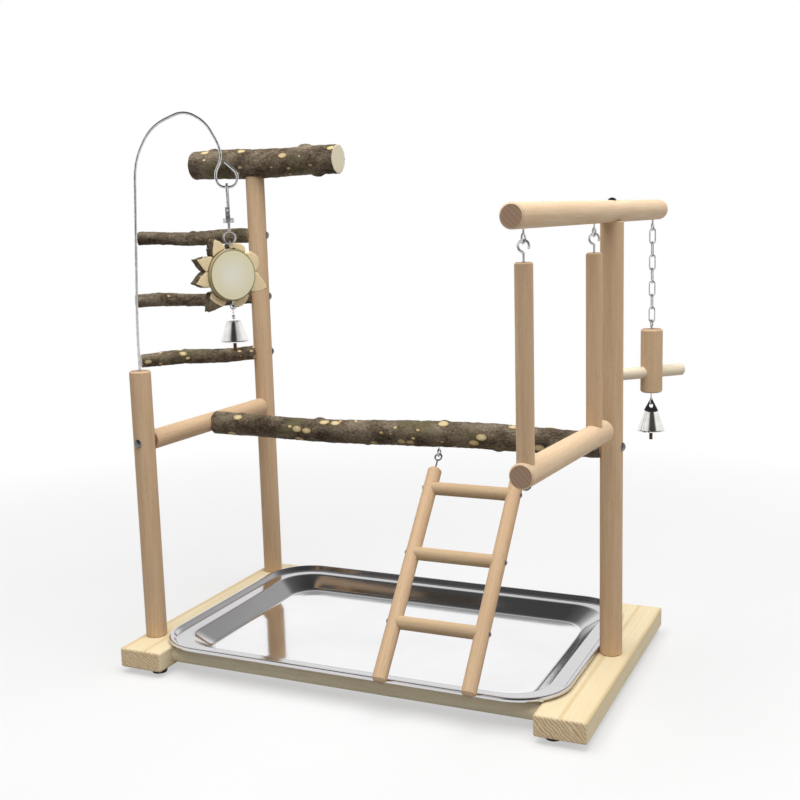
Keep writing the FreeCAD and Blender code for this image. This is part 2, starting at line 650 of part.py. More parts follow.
swing_perch = dowel("swing_perch", "swing_perch_radius", "swing_perch_length", "turned_edge")
for spot in ("swing_front_arm", "swing_rear_arm"):
    drill(swing_perch, pilot, "2 * swing_perch_radius + 2", "0", "swing_perch_radius + 1", spot,
          about(X, 90), "arm_bore")
x, y = along_dowel("swing_front")
place(swing_perch, x, y, "swing_perch_z")
lay_along(swing_perch, "top_dowel_turn")
keep("swing_perch", swing_perch)
arm_pins = []
for spot in (front_arm, rear_arm):
    x, y = along_dowel(spot)
    arm_pins.append(place(screw("side_screw_length"), x, y, "swing_perch_z - swing_perch_radius"))
group("swing_arm_screws", arm_pins)

# ---------------------------------------------------------------------------------
# Ladder: two rails with three rungs let into them, hung by eyes from the long perch. Its
# rails lean on the tray's front lip, just past the lip's outer edge.

perch_eye_z = "(rail_z - long_perch_radius - ladder_eye_drop)"
pivot_z = "(%s + 2 * eye_wire + wire_gap)" % perch_eye_z
tray_floor_z = "(%s + moving_gap)" % beam_top
lip_z = "(%s + tray_sheet + tray_lip_height)" % tray_floor_z
rise = "(%s - %s)" % (pivot_z, lip_z)
run = "(ladder_pivot_y - tray_y)"
slope = evaluate("atan2(%s; %s)" % (rise, run)) - evaluate(
    "asin((ladder_rail_radius + moving_gap) / sqrt(%s ^ 2 + %s ^ 2))" % (rise, run))
lean_spin = about(X, 90 + slope)
step_y = math.cos(math.radians(slope))
step_z = math.sin(math.radians(slope))


def down_ladder(distance):
    """The Y and Z of a place on the ladder's middle plane, a distance from its pivot."""
    return ("ladder_pivot_y - (%s) * %.6f" % (distance, step_y),
            "%s - (%s) * %.6f" % (pivot_z, distance, step_z))


ladder_pins = []
rung_spots = ["rung_start + %d * rung_pitch" % n for n in range(3)]
for side, x, inward in (("left", "ladder_left_x", 1), ("right", "ladder_right_x", -1)):
    stile = dowel("ladder_%s_rail" % side, "ladder_rail_radius", "ladder_rail_end - ladder_rail_start",
                  "post_edge * 2")
    drill(stile, "eye_wire + glue_fit", "eye_thread + 1", name="eye_bore")
    for spot in rung_spots:
        height = "%s - ladder_rail_start" % spot
        drill(stile, "small_screw_radius + glue_fit", "2 * ladder_rail_radius + 2",
              "%d * (-ladder_rail_radius - 1)" % inward, "0", height, about(Y, 90 * inward), "pin_bore")
        y, z = down_ladder(spot)
        pin = screw("rung_screw_length", "small_screw_radius", "small_screw_head", "1.4")
        ladder_pins.append(place(pin, "%s - %d * (ladder_rail_radius + 0.15)" % (x, inward), y, z,
                                 about(Y, 90 * inward)))
    y, z = down_ladder("ladder_rail_start")
    place(stile, x, y, z, lean_spin)
    keep("ladder_%s_rail" % side, stile)
group("ladder_screws", ladder_pins)

rungs = []
for spot in rung_spots:
    y, z = down_ladder(spot)
    span = "(ladder_right_x - ladder_left_x)"
    blank = rod("rung_radius", span, "rung")
    cuts = []
    for end in ("0", span):
        cuts.append(shift(rod("ladder_rail_radius + glue_fit", "4 * rung_radius", "cope"), "0",
                          "-2 * rung_radius", end, about(X, -90)))
    pin_depth = "(rung_screw_length - ladder_rail_radius + 1)"
    cuts.append(rod("small_screw_radius + glue_fit", pin_depth, "pin_bore"))
    cuts.append(shift(rod("small_screw_radius + glue_fit", pin_depth, "pin_bore"),
                      z="%s - %s" % (span, pin_depth)))
    rungs.append(place(cut(blank, joined(cuts), "rung"), "ladder_left_x", y, z,
                       about(X, 90 + slope) * about(Z, 90) * about(X, 90)))
group("ladder_rungs", rungs)

ladder_eyes = []
perch_eyes = []
for x in ("ladder_left_x", "ladder_right_x"):
    hung = eye("eye_ring", "eye_wire", "ladder_rail_start - 2 * eye_ring + eye_thread")
    ladder_eyes.append(place(hung, x, "ladder_pivot_y", pivot_z, lean_spin * about(Z, 90)))
    fixed = eye("eye_ring", "eye_wire", "ladder_eye_drop + long_perch_radius - 2 * eye_ring - 1.2")
    perch_eyes.append(place(fixed, x, "ladder_pivot_y", perch_eye_z))
group("ladder_eyes", ladder_eyes)
group("perch_screw_eyes", perch_eyes)

# ---------------------------------------------------------------------------------
# Tray: one pressed steel sheet with a turned-down lip, a flat rim, sloping sides and a flat floor.


def rounded_plate(part, height, inset, corner, name="level"):
    """A rounded rectangle, inset from the tray's outer edge, at a height in the tray."""
    item = sketch(part, "XY_Plane", height, name)
    low, corner_now = evaluate(inset), evaluate(corner)
    wide, deep = evaluate("tray_width - (%s)" % inset), evaluate("tray_depth - (%s)" % inset)
    c = corner_now
    spots = [((low + c, low), (wide - c, low)), ((wide, low + c), (wide, deep - c)),
             ((wide - c, deep), (low + c, deep)), ((low, deep - c), (low, low + c))]
    centres = [(wide - c, low + c), (wide - c, deep - c), (low + c, deep - c), (low + c, low + c)]
    sides, bends = [], []
    for n, (start, end) in enumerate(spots):
        sides.append(item.addGeometry(Part.LineSegment(Vector(*start), Vector(*end)), False))
        around = Part.Circle(Vector(*centres[n]), Vector(0, 0, 1), c)
        first = math.radians(90 * n - 90)
        bends.append(item.addGeometry(Part.ArcOfCircle(around, first, first + math.pi / 2), False))
    for n in range(4):
        item.addConstraint(Sketcher.Constraint("Tangent", sides[n], 2, bends[n], 1))
        item.addConstraint(Sketcher.Constraint("Tangent", bends[n], 2, sides[(n + 1) % 4], 1))
        item.addConstraint(Sketcher.Constraint("Vertical" if n % 2 else "Horizontal", sides[n]))
    for bend in bends[1:]:
        item.addConstraint(Sketcher.Constraint("Equal", bends[0], bend))
    bound = item.addConstraint(Sketcher.Constraint("Radius", bends[0], c))
    bind(item, "Constraints[%d]" % bound, corner)
    for kind, side, formula in (("DistanceY", 0, inset), ("DistanceX", 1, "tray_width - (%s)" % inset),
                                ("DistanceY", 2, "tray_depth - (%s)" % inset), ("DistanceX", 3, inset)):
        if formula == "0":
            item.addConstraint(Sketcher.Constraint("PointOnObject", sides[side], 1,
                                                   -1 if kind == "DistanceY" else -2))
        else:
            bound = item.addConstraint(Sketcher.Constraint(kind, -1, 1, sides[side], 1, evaluate(formula)))
            bind(item, "Constraints[%d]" % bound, formula)
    return item


lip_inner = "(tray_lip + tray_lip_run)"
flat_inner = "(%s + tray_flat)" % lip_inner
side_inner = "(%s + tray_side_run)" % flat_inner
floor_inner = "(%s + tray_bend_run)" % side_inner
crest = "(tray_sheet + tray_lip_height)"
levels = [("tray_sheet - tray_side_drop - tray_bend_drop", floor_inner, "tray_floor_corner"),
          ("tray_sheet - tray_side_drop", side_inner, "tray_side_corner"),
          ("tray_sheet", flat_inner, "tray_corner - 12"), ("tray_sheet", lip_inner, "tray_corner - 6"),
          (crest, "tray_lip", "tray_corner - 3")]
tray = body("tray")
rim = extrude(tray, rounded_plate(tray, crest + " - tray_hem", "0", "tray_corner"), "tray_hem")
hollow = tray.newObject("PartDesign::Pocket", "hem_hollow")
hollow.Profile = rounded_plate(tray, crest + " - tray_hem", "tray_sheet", "tray_corner - tray_sheet")
bind(hollow, "Length", "tray_hem - tray_sheet")
hollow.Reversed = True


under = [("%s - tray_sheet" % z, "%s - tray_sheet / 2" % inset, "%s + tray_sheet / 2" % corner)
         for z, inset, corner in levels]


def stepped(part, kind, levels, name):
    """A solid between rounded rectangles at rising heights; level ledges need no wall."""
    rising = [(low, high) for low, high in zip(levels, levels[1:])
              if abs(evaluate(low[0]) - evaluate(high[0])) > 0.01]
    for low, high in rising:
        step = part.newObject(kind, name)
        step.Profile = rounded_plate(part, *low)
        step.Sections = [rounded_plate(part, *high)]
        step.Ruled = True


stepped(tray, "PartDesign::AdditiveLoft", under, "pressing")
stepped(tray, "PartDesign::SubtractiveLoft", levels, "dish")
place(tray, "tray_x", "tray_y", tray_floor_z)
keep("tray", tray)

# ---------------------------------------------------------------------------------
# Crook: a bent wire that stands in the front post's top and ends in an open eye.


def bent_wire(points, wire):
    """A round wire along straight runs joined by tangent arcs, as large as the runs allow."""
    edges = []
    start = points[0]
    for before, corner, after in zip(points, points[1:], points[2:]):
        arrive = (corner - before).normalize()
        leave = (after - corner).normalize()
        half = arrive.getAngle(leave) / 2
        trim = 0.45 * min(corner.distanceToPoint(before), corner.distanceToPoint(after))
        first = corner - arrive * trim
        last = corner + leave * trim
        inward = (leave - arrive).normalize()
        radius = trim / math.tan(half)
        middle = corner + inward * (radius / math.cos(half) - radius)
        edges.append(Part.LineSegment(start, first).toShape())
        edges.append(Part.Arc(first, middle, last).toShape())
        start = last
    edges.append(Part.LineSegment(start, points[-1]).toShape())
    path = Part.Wire(edges)
    section = Part.Wire(Part.Circle(points[0], points[1] - points[0], wire).toShape())
    return path.makePipeShell([section], True, False)


crook_shares = [(0.09, 0.82), (0.28, 0.948), (0.636, 1.004), (0.857, 0.959), (0.985, 0.87)]
bends = [(size("crook_reach") * along, size("crook_top") * high) for along, high in crook_shares]
loop_shares = [(-0.35, 1.5), (-1.04, 0.15), (-0.74, -1), (0.74, -1), (1.08, 0.1), (-0.08, 1.2)]
loop = [(size("crook_eye_reach") + size("crook_eye_ring") * along,
         size("crook_eye_height") + size("crook_eye_ring") * high) for along, high in loop_shares]
route = [(0, -size("crook_thread")), (0, 40)] + bends + loop
crook = doc.addObject("Part::Feature", "crook")
crook.Shape = bent_wire([Vector(along, 0, high) for along, high in route], size("crook_wire"))
place(crook, "front_post_x", "front_post_y", top["front"], about(Z, evaluate("crook_turn")))
keep("crook_wire", crook)

# ---------------------------------------------------------------------------------
# Snap hook: a bow with a sprung gate, and a swivel with a ring below it.

hang_x = "(front_post_x + crook_eye_reach * cos(crook_turn))"
hang_y = "(front_post_y + crook_eye_reach * sin(crook_turn))"
snap_z = "(%s + crook_eye_height - crook_eye_ring + crook_wire + snap_wire + wire_gap)" % top["front"]
crook_spin = about(Z, evaluate("crook_turn"))
plate_top = "(-snap_bow - snap_leg)"
gate_z = "(-snap_bow - snap_gate)"


def block(wide, deep, high, x, y, z, name="block"):
    item = doc.addObject("Part::Box", name)
    for prop, formula in (("Length", wide), ("Width", deep), ("Height", high)):
        bind(item, prop, formula)
    return shift(item, x, y, z)


bow = shift(ring("snap_bow", "snap_wire", "180"), z="-snap_bow", spin=about(Y, 90) * about(Z, 90))
nose = shift(rod("snap_wire", "snap_nose", "nose"), "0", "-snap_bow", "-snap_bow - snap_nose")
back = shift(rod("snap_wire", "snap_leg + 1", "back"), "0", "snap_bow", "%s - 1" % plate_top)
plate = shift(rod("snap_bow + 1.1", "collar_height", "plate"), z="%s - collar_height" % plate_top)
stub = block("4.4", "2.6", "snap_leg - snap_gate - 2", "-2.2", "-snap_bow - 1.3", "%s - 0.4" % plate_top,
             "stub")
ears = [block("1.1", "2.6", "4.4", x, "-snap_bow - 1.3", "%s - 2.6" % gate_z, "ear")
        for x in ("-2.2", "1.1")]
pin = shift(rod("0.6", "4.4", "pin"), "-2.2", "-snap_bow", gate_z, about(Y, 90))
frame = joined([bow, nose, back, plate, stub, pin] + ears, "frame")
swivel_bore = shift(rod("swivel_pin + swivel_fit", "collar_height + 2", "bore"),
                    z="%s - collar_height - 1" % plate_top)
keep("snap_hook", place(cut(frame, swivel_bore, "snap_hook"), hang_x, hang_y, snap_z, crook_spin))

knuckle = shift(rod("1.4", "1.8", "knuckle"), "-0.9", "-snap_bow", gate_z, about(Y, 90))
lever = shift(rod("gate_wire", "snap_gate - snap_nose - 0.4", "lever"), "0", "-snap_bow", gate_z)
gate_bore = shift(rod("0.66", "4", "gate_bore"), "-2", "-snap_bow", gate_z, about(Y, 90))
keep("snap_lever", place(cut(joined([knuckle, lever]), gate_bore, "snap_lever"), hang_x, hang_y, snap_z,
                        crook_spin))

ring_z = "(-snap_bow - swivel_reach - swivel_ring)"
pin_head = shift(rod("swivel_head", "1.4", "pin_head"), z="%s + 0.15" % plate_top)
pin_length = "(%s + 0.5 - (%s + swivel_ring))" % (plate_top, ring_z)
swivel_shank = shift(rod("swivel_pin", pin_length, "swivel_shank"), z="%s + swivel_ring" % ring_z)
swivel_loop = shift(ring("swivel_ring", "swivel_wire"), z=ring_z, spin=about(X, 90))
keep("swivel_eye", place(joined([pin_head, swivel_shank, swivel_loop], "swivel_eye"), hang_x, hang_y,
                         snap_z, crook_spin))

# ---------------------------------------------------------------------------------
# Wooden flower: a slice of branch with bark-edged wedges glued behind it.

flower_pivot_z = "(%s + %s - swivel_ring)" % (snap_z, ring_z)
flower_top_eye = "(%s + swivel_wire + flower_eye_wire + wire_gap)" % flower_pivot_z
flower_z = "(%s - 2 * flower_eye_ring - 2.2 - flower_radius)" % flower_top_eye
flower_spin = about(Z, evaluate("flower_turn")) * about(X, 90)
disc = dowel("flower_disc", "flower_radius", "flower_thick", "0.8")
for y, spin in (("flower_radius - 8", -90), ("8 - flower_radius", 90)):
    drill(disc, "flower_eye_wire + glue_fit", "12", "0", y, "flower_thick / 2", about(X, spin), "eye_bore")
place(disc, "%s - flower_thick / 2 * sin(flower_turn)" % hang_x,
      "%s + flower_thick / 2 * cos(flower_turn)" % hang_y, flower_z, flower_spin)
keep("flower_disc", disc)

# Each petal: its angle round the disc, and its reach and width as shares of the largest.
petal_shares = [(26, 0.76, 1.0), (71, 0.7, 0.85), (118, 0.87, 0.8), (154, 1.0, 0.85), (187, 0.99, 0.85),
                (238, 0.96, 1.15), (294, 0.74, 1.05), (342, 0.94, 1.0)]
petals = []
for angle, far, wide in petal_shares:
    petal = body("petal")
    profile = sketch(petal)
    half = "petal_half * %.2f" % wide
    reach = "petal_reach * %.2f" % far
    middle = "(petal_shoulder + %s) / 2 + 1.5" % reach
    outline(profile, [("-petal_root", "petal_start"), ("petal_root", "petal_start"),
                      (half, "petal_shoulder"), (half + " * 0.78", middle), (half + " * 0.2", reach),
                      ("-%s * 0.35" % half, reach + " - 1"), ("-%s * 0.8" % half, middle + " - 1.5"),
                      ("-" + half, "petal_shoulder")])
    extrude(petal, profile, "petal_thick", back=True)
    petals.append(place(petal, "%s - flower_thick / 2 * sin(flower_turn)" % hang_x,
                        "%s + flower_thick / 2 * cos(flower_turn)" % hang_y, flower_z,
                        flower_spin * about(Z, angle - 90)))
group("flower_petals", petals)

bell_eye_z = "(%s - flower_radius - 3.5 - 2 * flower_eye_ring)" % flower_z
upper_eye = eye("flower_eye_ring", "flower_eye_wire", "9.2")
place(upper_eye, hang_x, hang_y, flower_top_eye, crook_spin * about(X, 180))
lower_eye = eye("flower_eye_ring", "flower_eye_wire", "10.7")
place(lower_eye, hang_x, hang_y, bell_eye_z, crook_spin * about(Z, 90))
group("flower_eyes", [upper_eye, lower_eye])

# ---------------------------------------------------------------------------------
# Bells: spun steel shells with a staple under the crown and a rod clapper hooked on it.


def bell(name):
    """A bell shell; its crown's top is at 0 and its mouth opens downwards."""
    part = body(name)
    profile = sketch(part, "XZ_Plane")
    outline(profile, [("0", "0"), ("bell_crown - 1.8", "0"), ("bell_crown - 0.5", "-0.5"),
                      ("bell_crown", "-1.8"), ("bell_mouth - bell_lip", "-bell_height + 1.6"),
                      ("bell_mouth", "-bell_height + 0.9"), ("bell_mouth", "-bell_height"),
                      ("bell_mouth - bell_lip - bell_wall", "-bell_height"),
                      ("bell_crown - bell_wall", "-1.8 - bell_wall / 2"),
                      ("bell_crown - 1.8 - bell_wall / 2", "-bell_wall"), ("0", "-bell_wall")])
    turned = part.newObject("PartDesign::Revolution", "spun")
    turned.Profile = profile
    turned.ReferenceAxis = (profile, ["V_Axis"])
    turned.Angle = 360
    return part


staple_z = "(-bell_wall - staple_ring)"
clapper_pivot = "(%s - staple_ring)" % staple_z


def staple():
    return shift(ring("staple_ring", "staple_wire"), z=staple_z, spin=about(Y, 90))


def clapper(name):
    """A rod clapper hooked on the staple: its ring, thin rod and heavy end."""
    hook_z = "(%s + 2 * staple_wire + wire_gap)" % clapper_pivot
    loop = shift(ring("staple_ring", "staple_wire"), z="%s - staple_ring" % hook_z, spin=about(X, 90))
    stem = shift(rod("staple_wire", "clapper_reach + %s - 2 * staple_ring" % hook_z, "stem"),
                 z="-clapper_reach")
    weight = shift(rod("clapper_radius", "clapper_weight", "weight"), z="-clapper_reach")
    return joined([loop, stem, weight], name)


bell_top_z = "(%s + flower_eye_wire + bell_loop_wire + wire_gap)" % bell_eye_z
crown_z = "(%s - 13.4)" % bell_top_z
shell = bell("bell_shell")
loop = shift(ring("bell_loop_ring", "bell_loop_wire"), z="13.4 - bell_loop_ring", spin=about(Y, 90))
neck = shift(rod("bell_loop_wire", "13.4 - 2 * bell_loop_ring + 0.4", "neck"), z="-0.4")
knob = shift(ball("2.1", "knob"), z="3.9")
flower_bell = joined([shell, staple(), loop, neck, knob], "flower_bell")
keep("flower_bell", place(flower_bell, hang_x, hang_y, crown_z, crook_spin))
keep("flower_clapper", place(clapper("flower_clapper"), hang_x, hang_y, crown_z, crook_spin))

# ---------------------------------------------------------------------------------
# Chain toy: oval links, a wood block with a cross perch and a second bell.

chain_x, chain_y = along_dowel(chain_spot)
link_reach = "(2 * link_ring + link_straight)"
link_pitch = "(%s - 2 * link_wire - wire_gap)" % link_reach
first_link = "(%s + eye_wire + link_wire + wire_gap)" % eye_z


def link():
    """An oval link in the XZ plane; its top wire's middle is at 0."""
    upper = shift(ring("link_ring", "link_wire", "180"), z="-link_ring", spin=about(X, 90))
    lower = shift(ring("link_ring", "link_wire", "180"), z="-link_ring - link_straight",
                  spin=about(X, 90) * about(Z, 180))
    sides = [shift(rod("link_wire", "link_straight", "side"), x, "0", "-link_ring - link_straight")
             for x in ("link_ring", "-link_ring")]
    return joined([upper, lower] + sides, "link")


links = []
for n in range(LINKS):
    spin = dowel_spin * about(Z, 90 * (n % 2))
    links.append(place(link(), chain_x, chain_y, "%s - %d * %s" % (first_link, n, link_pitch), spin))
group("upper_chain_links", links[:UPPER_LINKS])
group("lower_chain_links", links[UPPER_LINKS:])

chain_end = "(%s - %d * %s - %s)" % (first_link, LINKS - 1, link_pitch, link_reach)
block_eye_z = "(%s + link_wire + eye_wire + wire_gap)" % chain_end
block_top = "(%s - 2 * eye_ring - block_shank)" % block_eye_z
block_z = "(%s - block_height)" % block_top
wood = dowel("toy_block", "block_radius", "block_height", "block_edge")
drill(wood, "eye_wire + glue_fit", "eye_thread + 1", z="block_height - eye_thread - 0.5", name="top_bore")
drill(wood, "flower_eye_wire + glue_fit", "eye_thread + 1.5", z="-1", name="low_bore")
cross_angle = "90 - cross_turn"
tunnel = drill(wood, "cross_radius + glue_fit", "4 * block_radius", name="cross_bore")
bind(tunnel, "Placement.Base.x", "-2 * block_radius * sin(%s)" % cross_angle)
bind(tunnel, "Placement.Base.y", "-2 * block_radius * cos(%s)" % cross_angle)
bind(tunnel, "Placement.Base.z", "cross_height")
lay_along(tunnel, cross_angle)
keep("toy_block", place(wood, chain_x, chain_y, block_z))

cross_perch = dowel("toy_cross_perch", "cross_radius", "cross_length", "block_edge")
place(cross_perch, "%s - cross_length / 2 * sin(%s)" % (chain_x, cross_angle),
      "%s - cross_length / 2 * cos(%s)" % (chain_y, cross_angle), "%s + cross_height" % block_z)
lay_along(cross_perch, cross_angle)
keep("toy_cross_perch", cross_perch)

upper_eye = eye("eye_ring", "eye_wire", "block_shank + eye_thread")
place(upper_eye, chain_x, chain_y, block_eye_z, dowel_spin * about(X, 180))
hanger_pivot = "(%s - hanger_shank - 2 * eye_ring)" % block_z
lower_eye = eye("eye_ring", "flower_eye_wire", "hanger_shank + eye_thread")
place(lower_eye, chain_x, chain_y, hanger_pivot, dowel_spin)
group("block_eyes", [upper_eye, lower_eye])

# The second bell hangs by a black triangular hanger on its crown.
hole_z = "(%s + flower_eye_wire + wire_gap - hanger_hole)" % hanger_pivot
toy_crown_z = "(%s - hanger_rise)" % hole_z
hanger = body("hanger")
profile = sketch(hanger, "XZ_Plane", "-hanger_thick / 2")
outline(profile, [("-bell_crown", "0"), ("bell_crown", "0"), ("1.2", "hanger_height"),
                  ("-1.2", "hanger_height")])
extrude(hanger, profile, "hanger_thick")
drill(hanger, "hanger_hole", "4 * hanger_thick", "0", "2 * hanger_thick", "hanger_rise",
      about(X, 90), "hole")
keep("bell_hanger", place(hanger, chain_x, chain_y, toy_crown_z, dowel_spin))
toy_bell = joined([bell("bell_shell"), staple()], "toy_bell")
keep("toy_bell", place(toy_bell, chain_x, chain_y, toy_crown_z, dowel_spin))
keep("toy_clapper", place(clapper("toy_clapper"), chain_x, chain_y, toy_crown_z, dowel_spin))

# ---------------------------------------------------------------------------------

doc.recompute()
faults = [item.Name for item in doc.Objects if {"Invalid", "Error"} & set(item.State)]
for name, item in nodes.items():
    if item.Shape.isNull() or not item.Shape.isValid() or not item.Shape.Solids:
        faults.append(name)
if faults:
    raise SystemExit("these features failed: " + ", ".join(faults))

os.makedirs("parts", exist_ok=True)
outer = FreeCAD.BoundBox()
for name, item in nodes.items():
    item.Shape.exportStep("parts/%s.step" % name)
    outer.add(item.Shape.BoundBox)
print(len(nodes), "pieces;", "outline x %.2f to %.2f, y %.2f to %.2f, z %.2f to %.2f" % (
    outer.XMin, outer.XMax, outer.YMin, outer.YMax, outer.ZMin, outer.ZMax))
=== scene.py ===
import bpy
import math
from mathutils import Matrix, Vector


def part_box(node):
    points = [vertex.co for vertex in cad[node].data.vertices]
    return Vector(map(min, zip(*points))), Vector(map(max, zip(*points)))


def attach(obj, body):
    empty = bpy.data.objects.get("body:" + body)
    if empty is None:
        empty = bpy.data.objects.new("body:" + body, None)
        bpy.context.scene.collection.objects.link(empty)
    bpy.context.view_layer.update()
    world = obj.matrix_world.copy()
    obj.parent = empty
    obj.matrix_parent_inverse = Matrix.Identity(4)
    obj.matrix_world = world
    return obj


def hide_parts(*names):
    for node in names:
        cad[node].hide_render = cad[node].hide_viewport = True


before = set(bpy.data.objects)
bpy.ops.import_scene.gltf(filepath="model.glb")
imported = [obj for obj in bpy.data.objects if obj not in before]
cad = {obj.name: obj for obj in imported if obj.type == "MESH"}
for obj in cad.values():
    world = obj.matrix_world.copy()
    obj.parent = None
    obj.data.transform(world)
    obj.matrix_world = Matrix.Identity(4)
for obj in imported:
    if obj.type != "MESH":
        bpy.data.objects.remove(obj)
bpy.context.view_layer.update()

# ---------------------------------------------------------------------------
# The room: a pale floor, a pale world and large soft lamps, seen from a little
# above and from the front right of the stand, as in the photograph.

CAMERA_PLACE = (0.5404, -1.0268, 0.4660)
CAMERA_YAW, CAMERA_PITCH, CAMERA_ROLL = -24.62, 9.38, -1.60
CAMERA_LENS = 51.44
FILM_WIDTH = 36
FLOOR_WIDTH = 12
FLOOR_GREY = 0.40
FLOOR_CLOUDING, FLOOR_CLOUD_FINE = 0.02, 3.0
FLOOR_ROUGH = 0.9
FLOOR_GLOW = 0.50
FLOOR_NEAR, FLOOR_FAR = 0.45, 1.15
WORLD_LIGHT = 0.17
CEILING = [(0.40, 1.0), (0.52, 0.60), (0.74, 0.16), (1.0, 0.05)]
ROOM_BEHIND = [(0.66, 1.0), (0.80, 0.08)]
LAMPS = [("top_lamp", (0.10, -0.25, 1.75), 1.9, 41), ("right_lamp", (1.9, 0.2, 1.1), 1.0, 7)]
LAMP_AIM = Vector((0, 0, 0.2))

scene = bpy.context.scene
scene.view_settings.view_transform = "Standard"

yaw, pitch, roll = (math.radians(a) for a in (CAMERA_YAW, CAMERA_PITCH, CAMERA_ROLL))
forward = Vector((math.sin(yaw) * math.cos(pitch), math.cos(yaw) * math.cos(pitch), -math.sin(pitch)))
level = Vector((math.cos(yaw), -math.sin(yaw), 0))
upright = level.cross(forward)
right = level * math.cos(roll) + upright * math.sin(roll)
above = upright * math.cos(roll) - level * math.sin(roll)
bpy.ops.object.camera_add(location=CAMERA_PLACE,
                          rotation=Matrix((right, above, -forward)).transposed().to_euler())
camera = bpy.context.object
camera.data.lens = CAMERA_LENS
camera.data.sensor_width = FILM_WIDTH
scene.camera = camera


def add_node(material, kind, **inputs):
    """A shader node with some of its inputs set or linked by name."""
    made = material.node_tree.nodes.new(kind)
    for name, value in inputs.items():
        socket = made.inputs[name.replace("_", " ")]
        if isinstance(value, bpy.types.NodeSocket):
            material.node_tree.links.new(value, socket)
        else:
            socket.default_value = value
    return made


def colour_steps(material, factor, *steps):
    """A colour ramp: each step is its place and its colour."""
    ramp = add_node(material, "ShaderNodeValToRGB", Fac=factor)
    ramp.color_ramp.elements[0].position = steps[0][0]
    ramp.color_ramp.elements[1].position = steps[-1][0]
    for place, colour in steps[1:-1]:
        ramp.color_ramp.elements.new(place)
    for element, (place, colour) in zip(ramp.color_ramp.elements, steps):
        element.color = (*colour, 1)
    return ramp.outputs["Color"]


def greys(steps):
    """Steps of grey for a colour ramp, from places and shades."""
    return [(place, (shade,) * 3) for place, shade in steps]


def blended(material, factor, first, second, way="MIX"):
    """Two colours mixed by a factor."""
    mix = material.node_tree.nodes.new("ShaderNodeMix")
    mix.data_type = "RGBA"
    mix.blend_type = way
    for socket, value in ((mix.inputs[0], factor), (mix.inputs[6], first), (mix.inputs[7], second)):
        if isinstance(value, bpy.types.NodeSocket):
            material.node_tree.links.new(value, socket)
        elif isinstance(value, (int, float)):
            socket.default_value = value
        else:
            socket.default_value = (*value, 1)
    return mix.outputs[2]


def reckon(material, way, first, second=0.0):
    """One step of arithmetic between two sockets or numbers."""
    step = material.node_tree.nodes.new("ShaderNodeMath")
    step.operation = way
    for socket, value in zip(step.inputs, (first, second)):
        if isinstance(value, bpy.types.NodeSocket):
            material.node_tree.links.new(value, socket)
        else:
            socket.default_value = value
    return step.outputs[0]


def new_material(name):
    """A material with its shader, and the place on the object that its patterns follow."""
    material = bpy.data.materials.new(name)
    material.use_nodes = True
    shader = material.node_tree.nodes["Principled BSDF"]
    place = material.node_tree.nodes.new("ShaderNodeTexCoord").outputs["Object"]
    return material, shader, place


def feed(material, value, socket):
    material.node_tree.links.new(value, socket)


def pale_floor():
    """Grey to the lamps, so that it lights the wood little from below, and near white to the eye.

    Away from the stand it fades to plain white.
    """
    material, shader, place = new_material("floor_paint")
    grain = add_node(material, "ShaderNodeTexNoise", Vector=place, Scale=FLOOR_CLOUD_FINE)
    pale, grey = (FLOOR_GREY * (1 + FLOOR_CLOUDING),) * 3, (FLOOR_GREY * (1 - FLOOR_CLOUDING),) * 3
    feed(material, colour_steps(material, grain.outputs["Fac"], (0.3, grey), (0.7, pale)),
         shader.inputs["Base Color"])
    shader.inputs["Roughness"].default_value = FLOOR_ROUGH
    shader.inputs["Specular IOR Level"].default_value = 0.0
    rays = material.node_tree.nodes.new("ShaderNodeLightPath").outputs
    seen = reckon(material, "MAXIMUM", rays["Is Camera Ray"], rays["Is Glossy Ray"])
    seen = reckon(material, "MAXIMUM", seen, rays["Is Transmission Ray"])
    span = add_node(material, "ShaderNodeVectorMath", Vector=place)
    span.operation = "LENGTH"
    away = add_node(material, "ShaderNodeMapRange", Value=span.outputs["Value"])
    away.inputs["From Min"].default_value = FLOOR_NEAR
    away.inputs["From Max"].default_value = FLOOR_FAR
    away = reckon(material, "MULTIPLY", away.outputs["Result"], seen)
    shader.inputs["Emission Color"].default_value = (1, 1, 1, 1)
    feed(material, reckon(material, "MULTIPLY", seen, FLOOR_GLOW), shader.inputs["Emission Strength"])
    white = add_node(material, "ShaderNodeEmission", Strength=1.0)
    mixed = material.node_tree.nodes.new("ShaderNodeMixShader")
    feed(material, away, mixed.inputs[0])
    feed(material, shader.outputs[0], mixed.inputs[1])
    feed(material, white.outputs[0], mixed.inputs[2])
    feed(material, mixed.outputs[0], material.node_tree.nodes["Material Output"].inputs["Surface"])
    return material


bpy.ops.mesh.primitive_plane_add(size=FLOOR_WIDTH, location=(0, 0, 0))
floor = bpy.context.object
floor.name = "floor"
floor.data.materials.append(pale_floor())

# The walls of the room are white, the ceiling darkens overhead and the room behind
# the camera is dark, which is what the steel and the bells show.
world = bpy.data.worlds.new("pale_room")
scene.world = world
world.use_nodes = True
direction = world.node_tree.nodes.new("ShaderNodeTexCoord").outputs["Generated"]
height = add_node(world, "ShaderNodeSeparateXYZ", Vector=direction).outputs["Z"]
ceiling = colour_steps(world, height, *greys(CEILING))
facing = add_node(world, "ShaderNodeVectorMath", Vector=direction)
facing.operation = "DOT_PRODUCT"
facing.inputs[1].default_value = -Vector((forward.x, forward.y, 0)).normalized()
behind = colour_steps(world, facing.outputs["Value"], *greys(ROOM_BEHIND))
rays = world.node_tree.nodes.new("ShaderNodeLightPath").outputs
shown = reckon(world, "MAXIMUM", rays["Is Glossy Ray"], rays["Is Transmission Ray"])
mirrored = reckon(world, "MULTIPLY", reckon(world, "MULTIPLY", ceiling, behind), shown)
dull = reckon(world, "MULTIPLY", reckon(world, "SUBTRACT", 1.0, shown), WORLD_LIGHT)
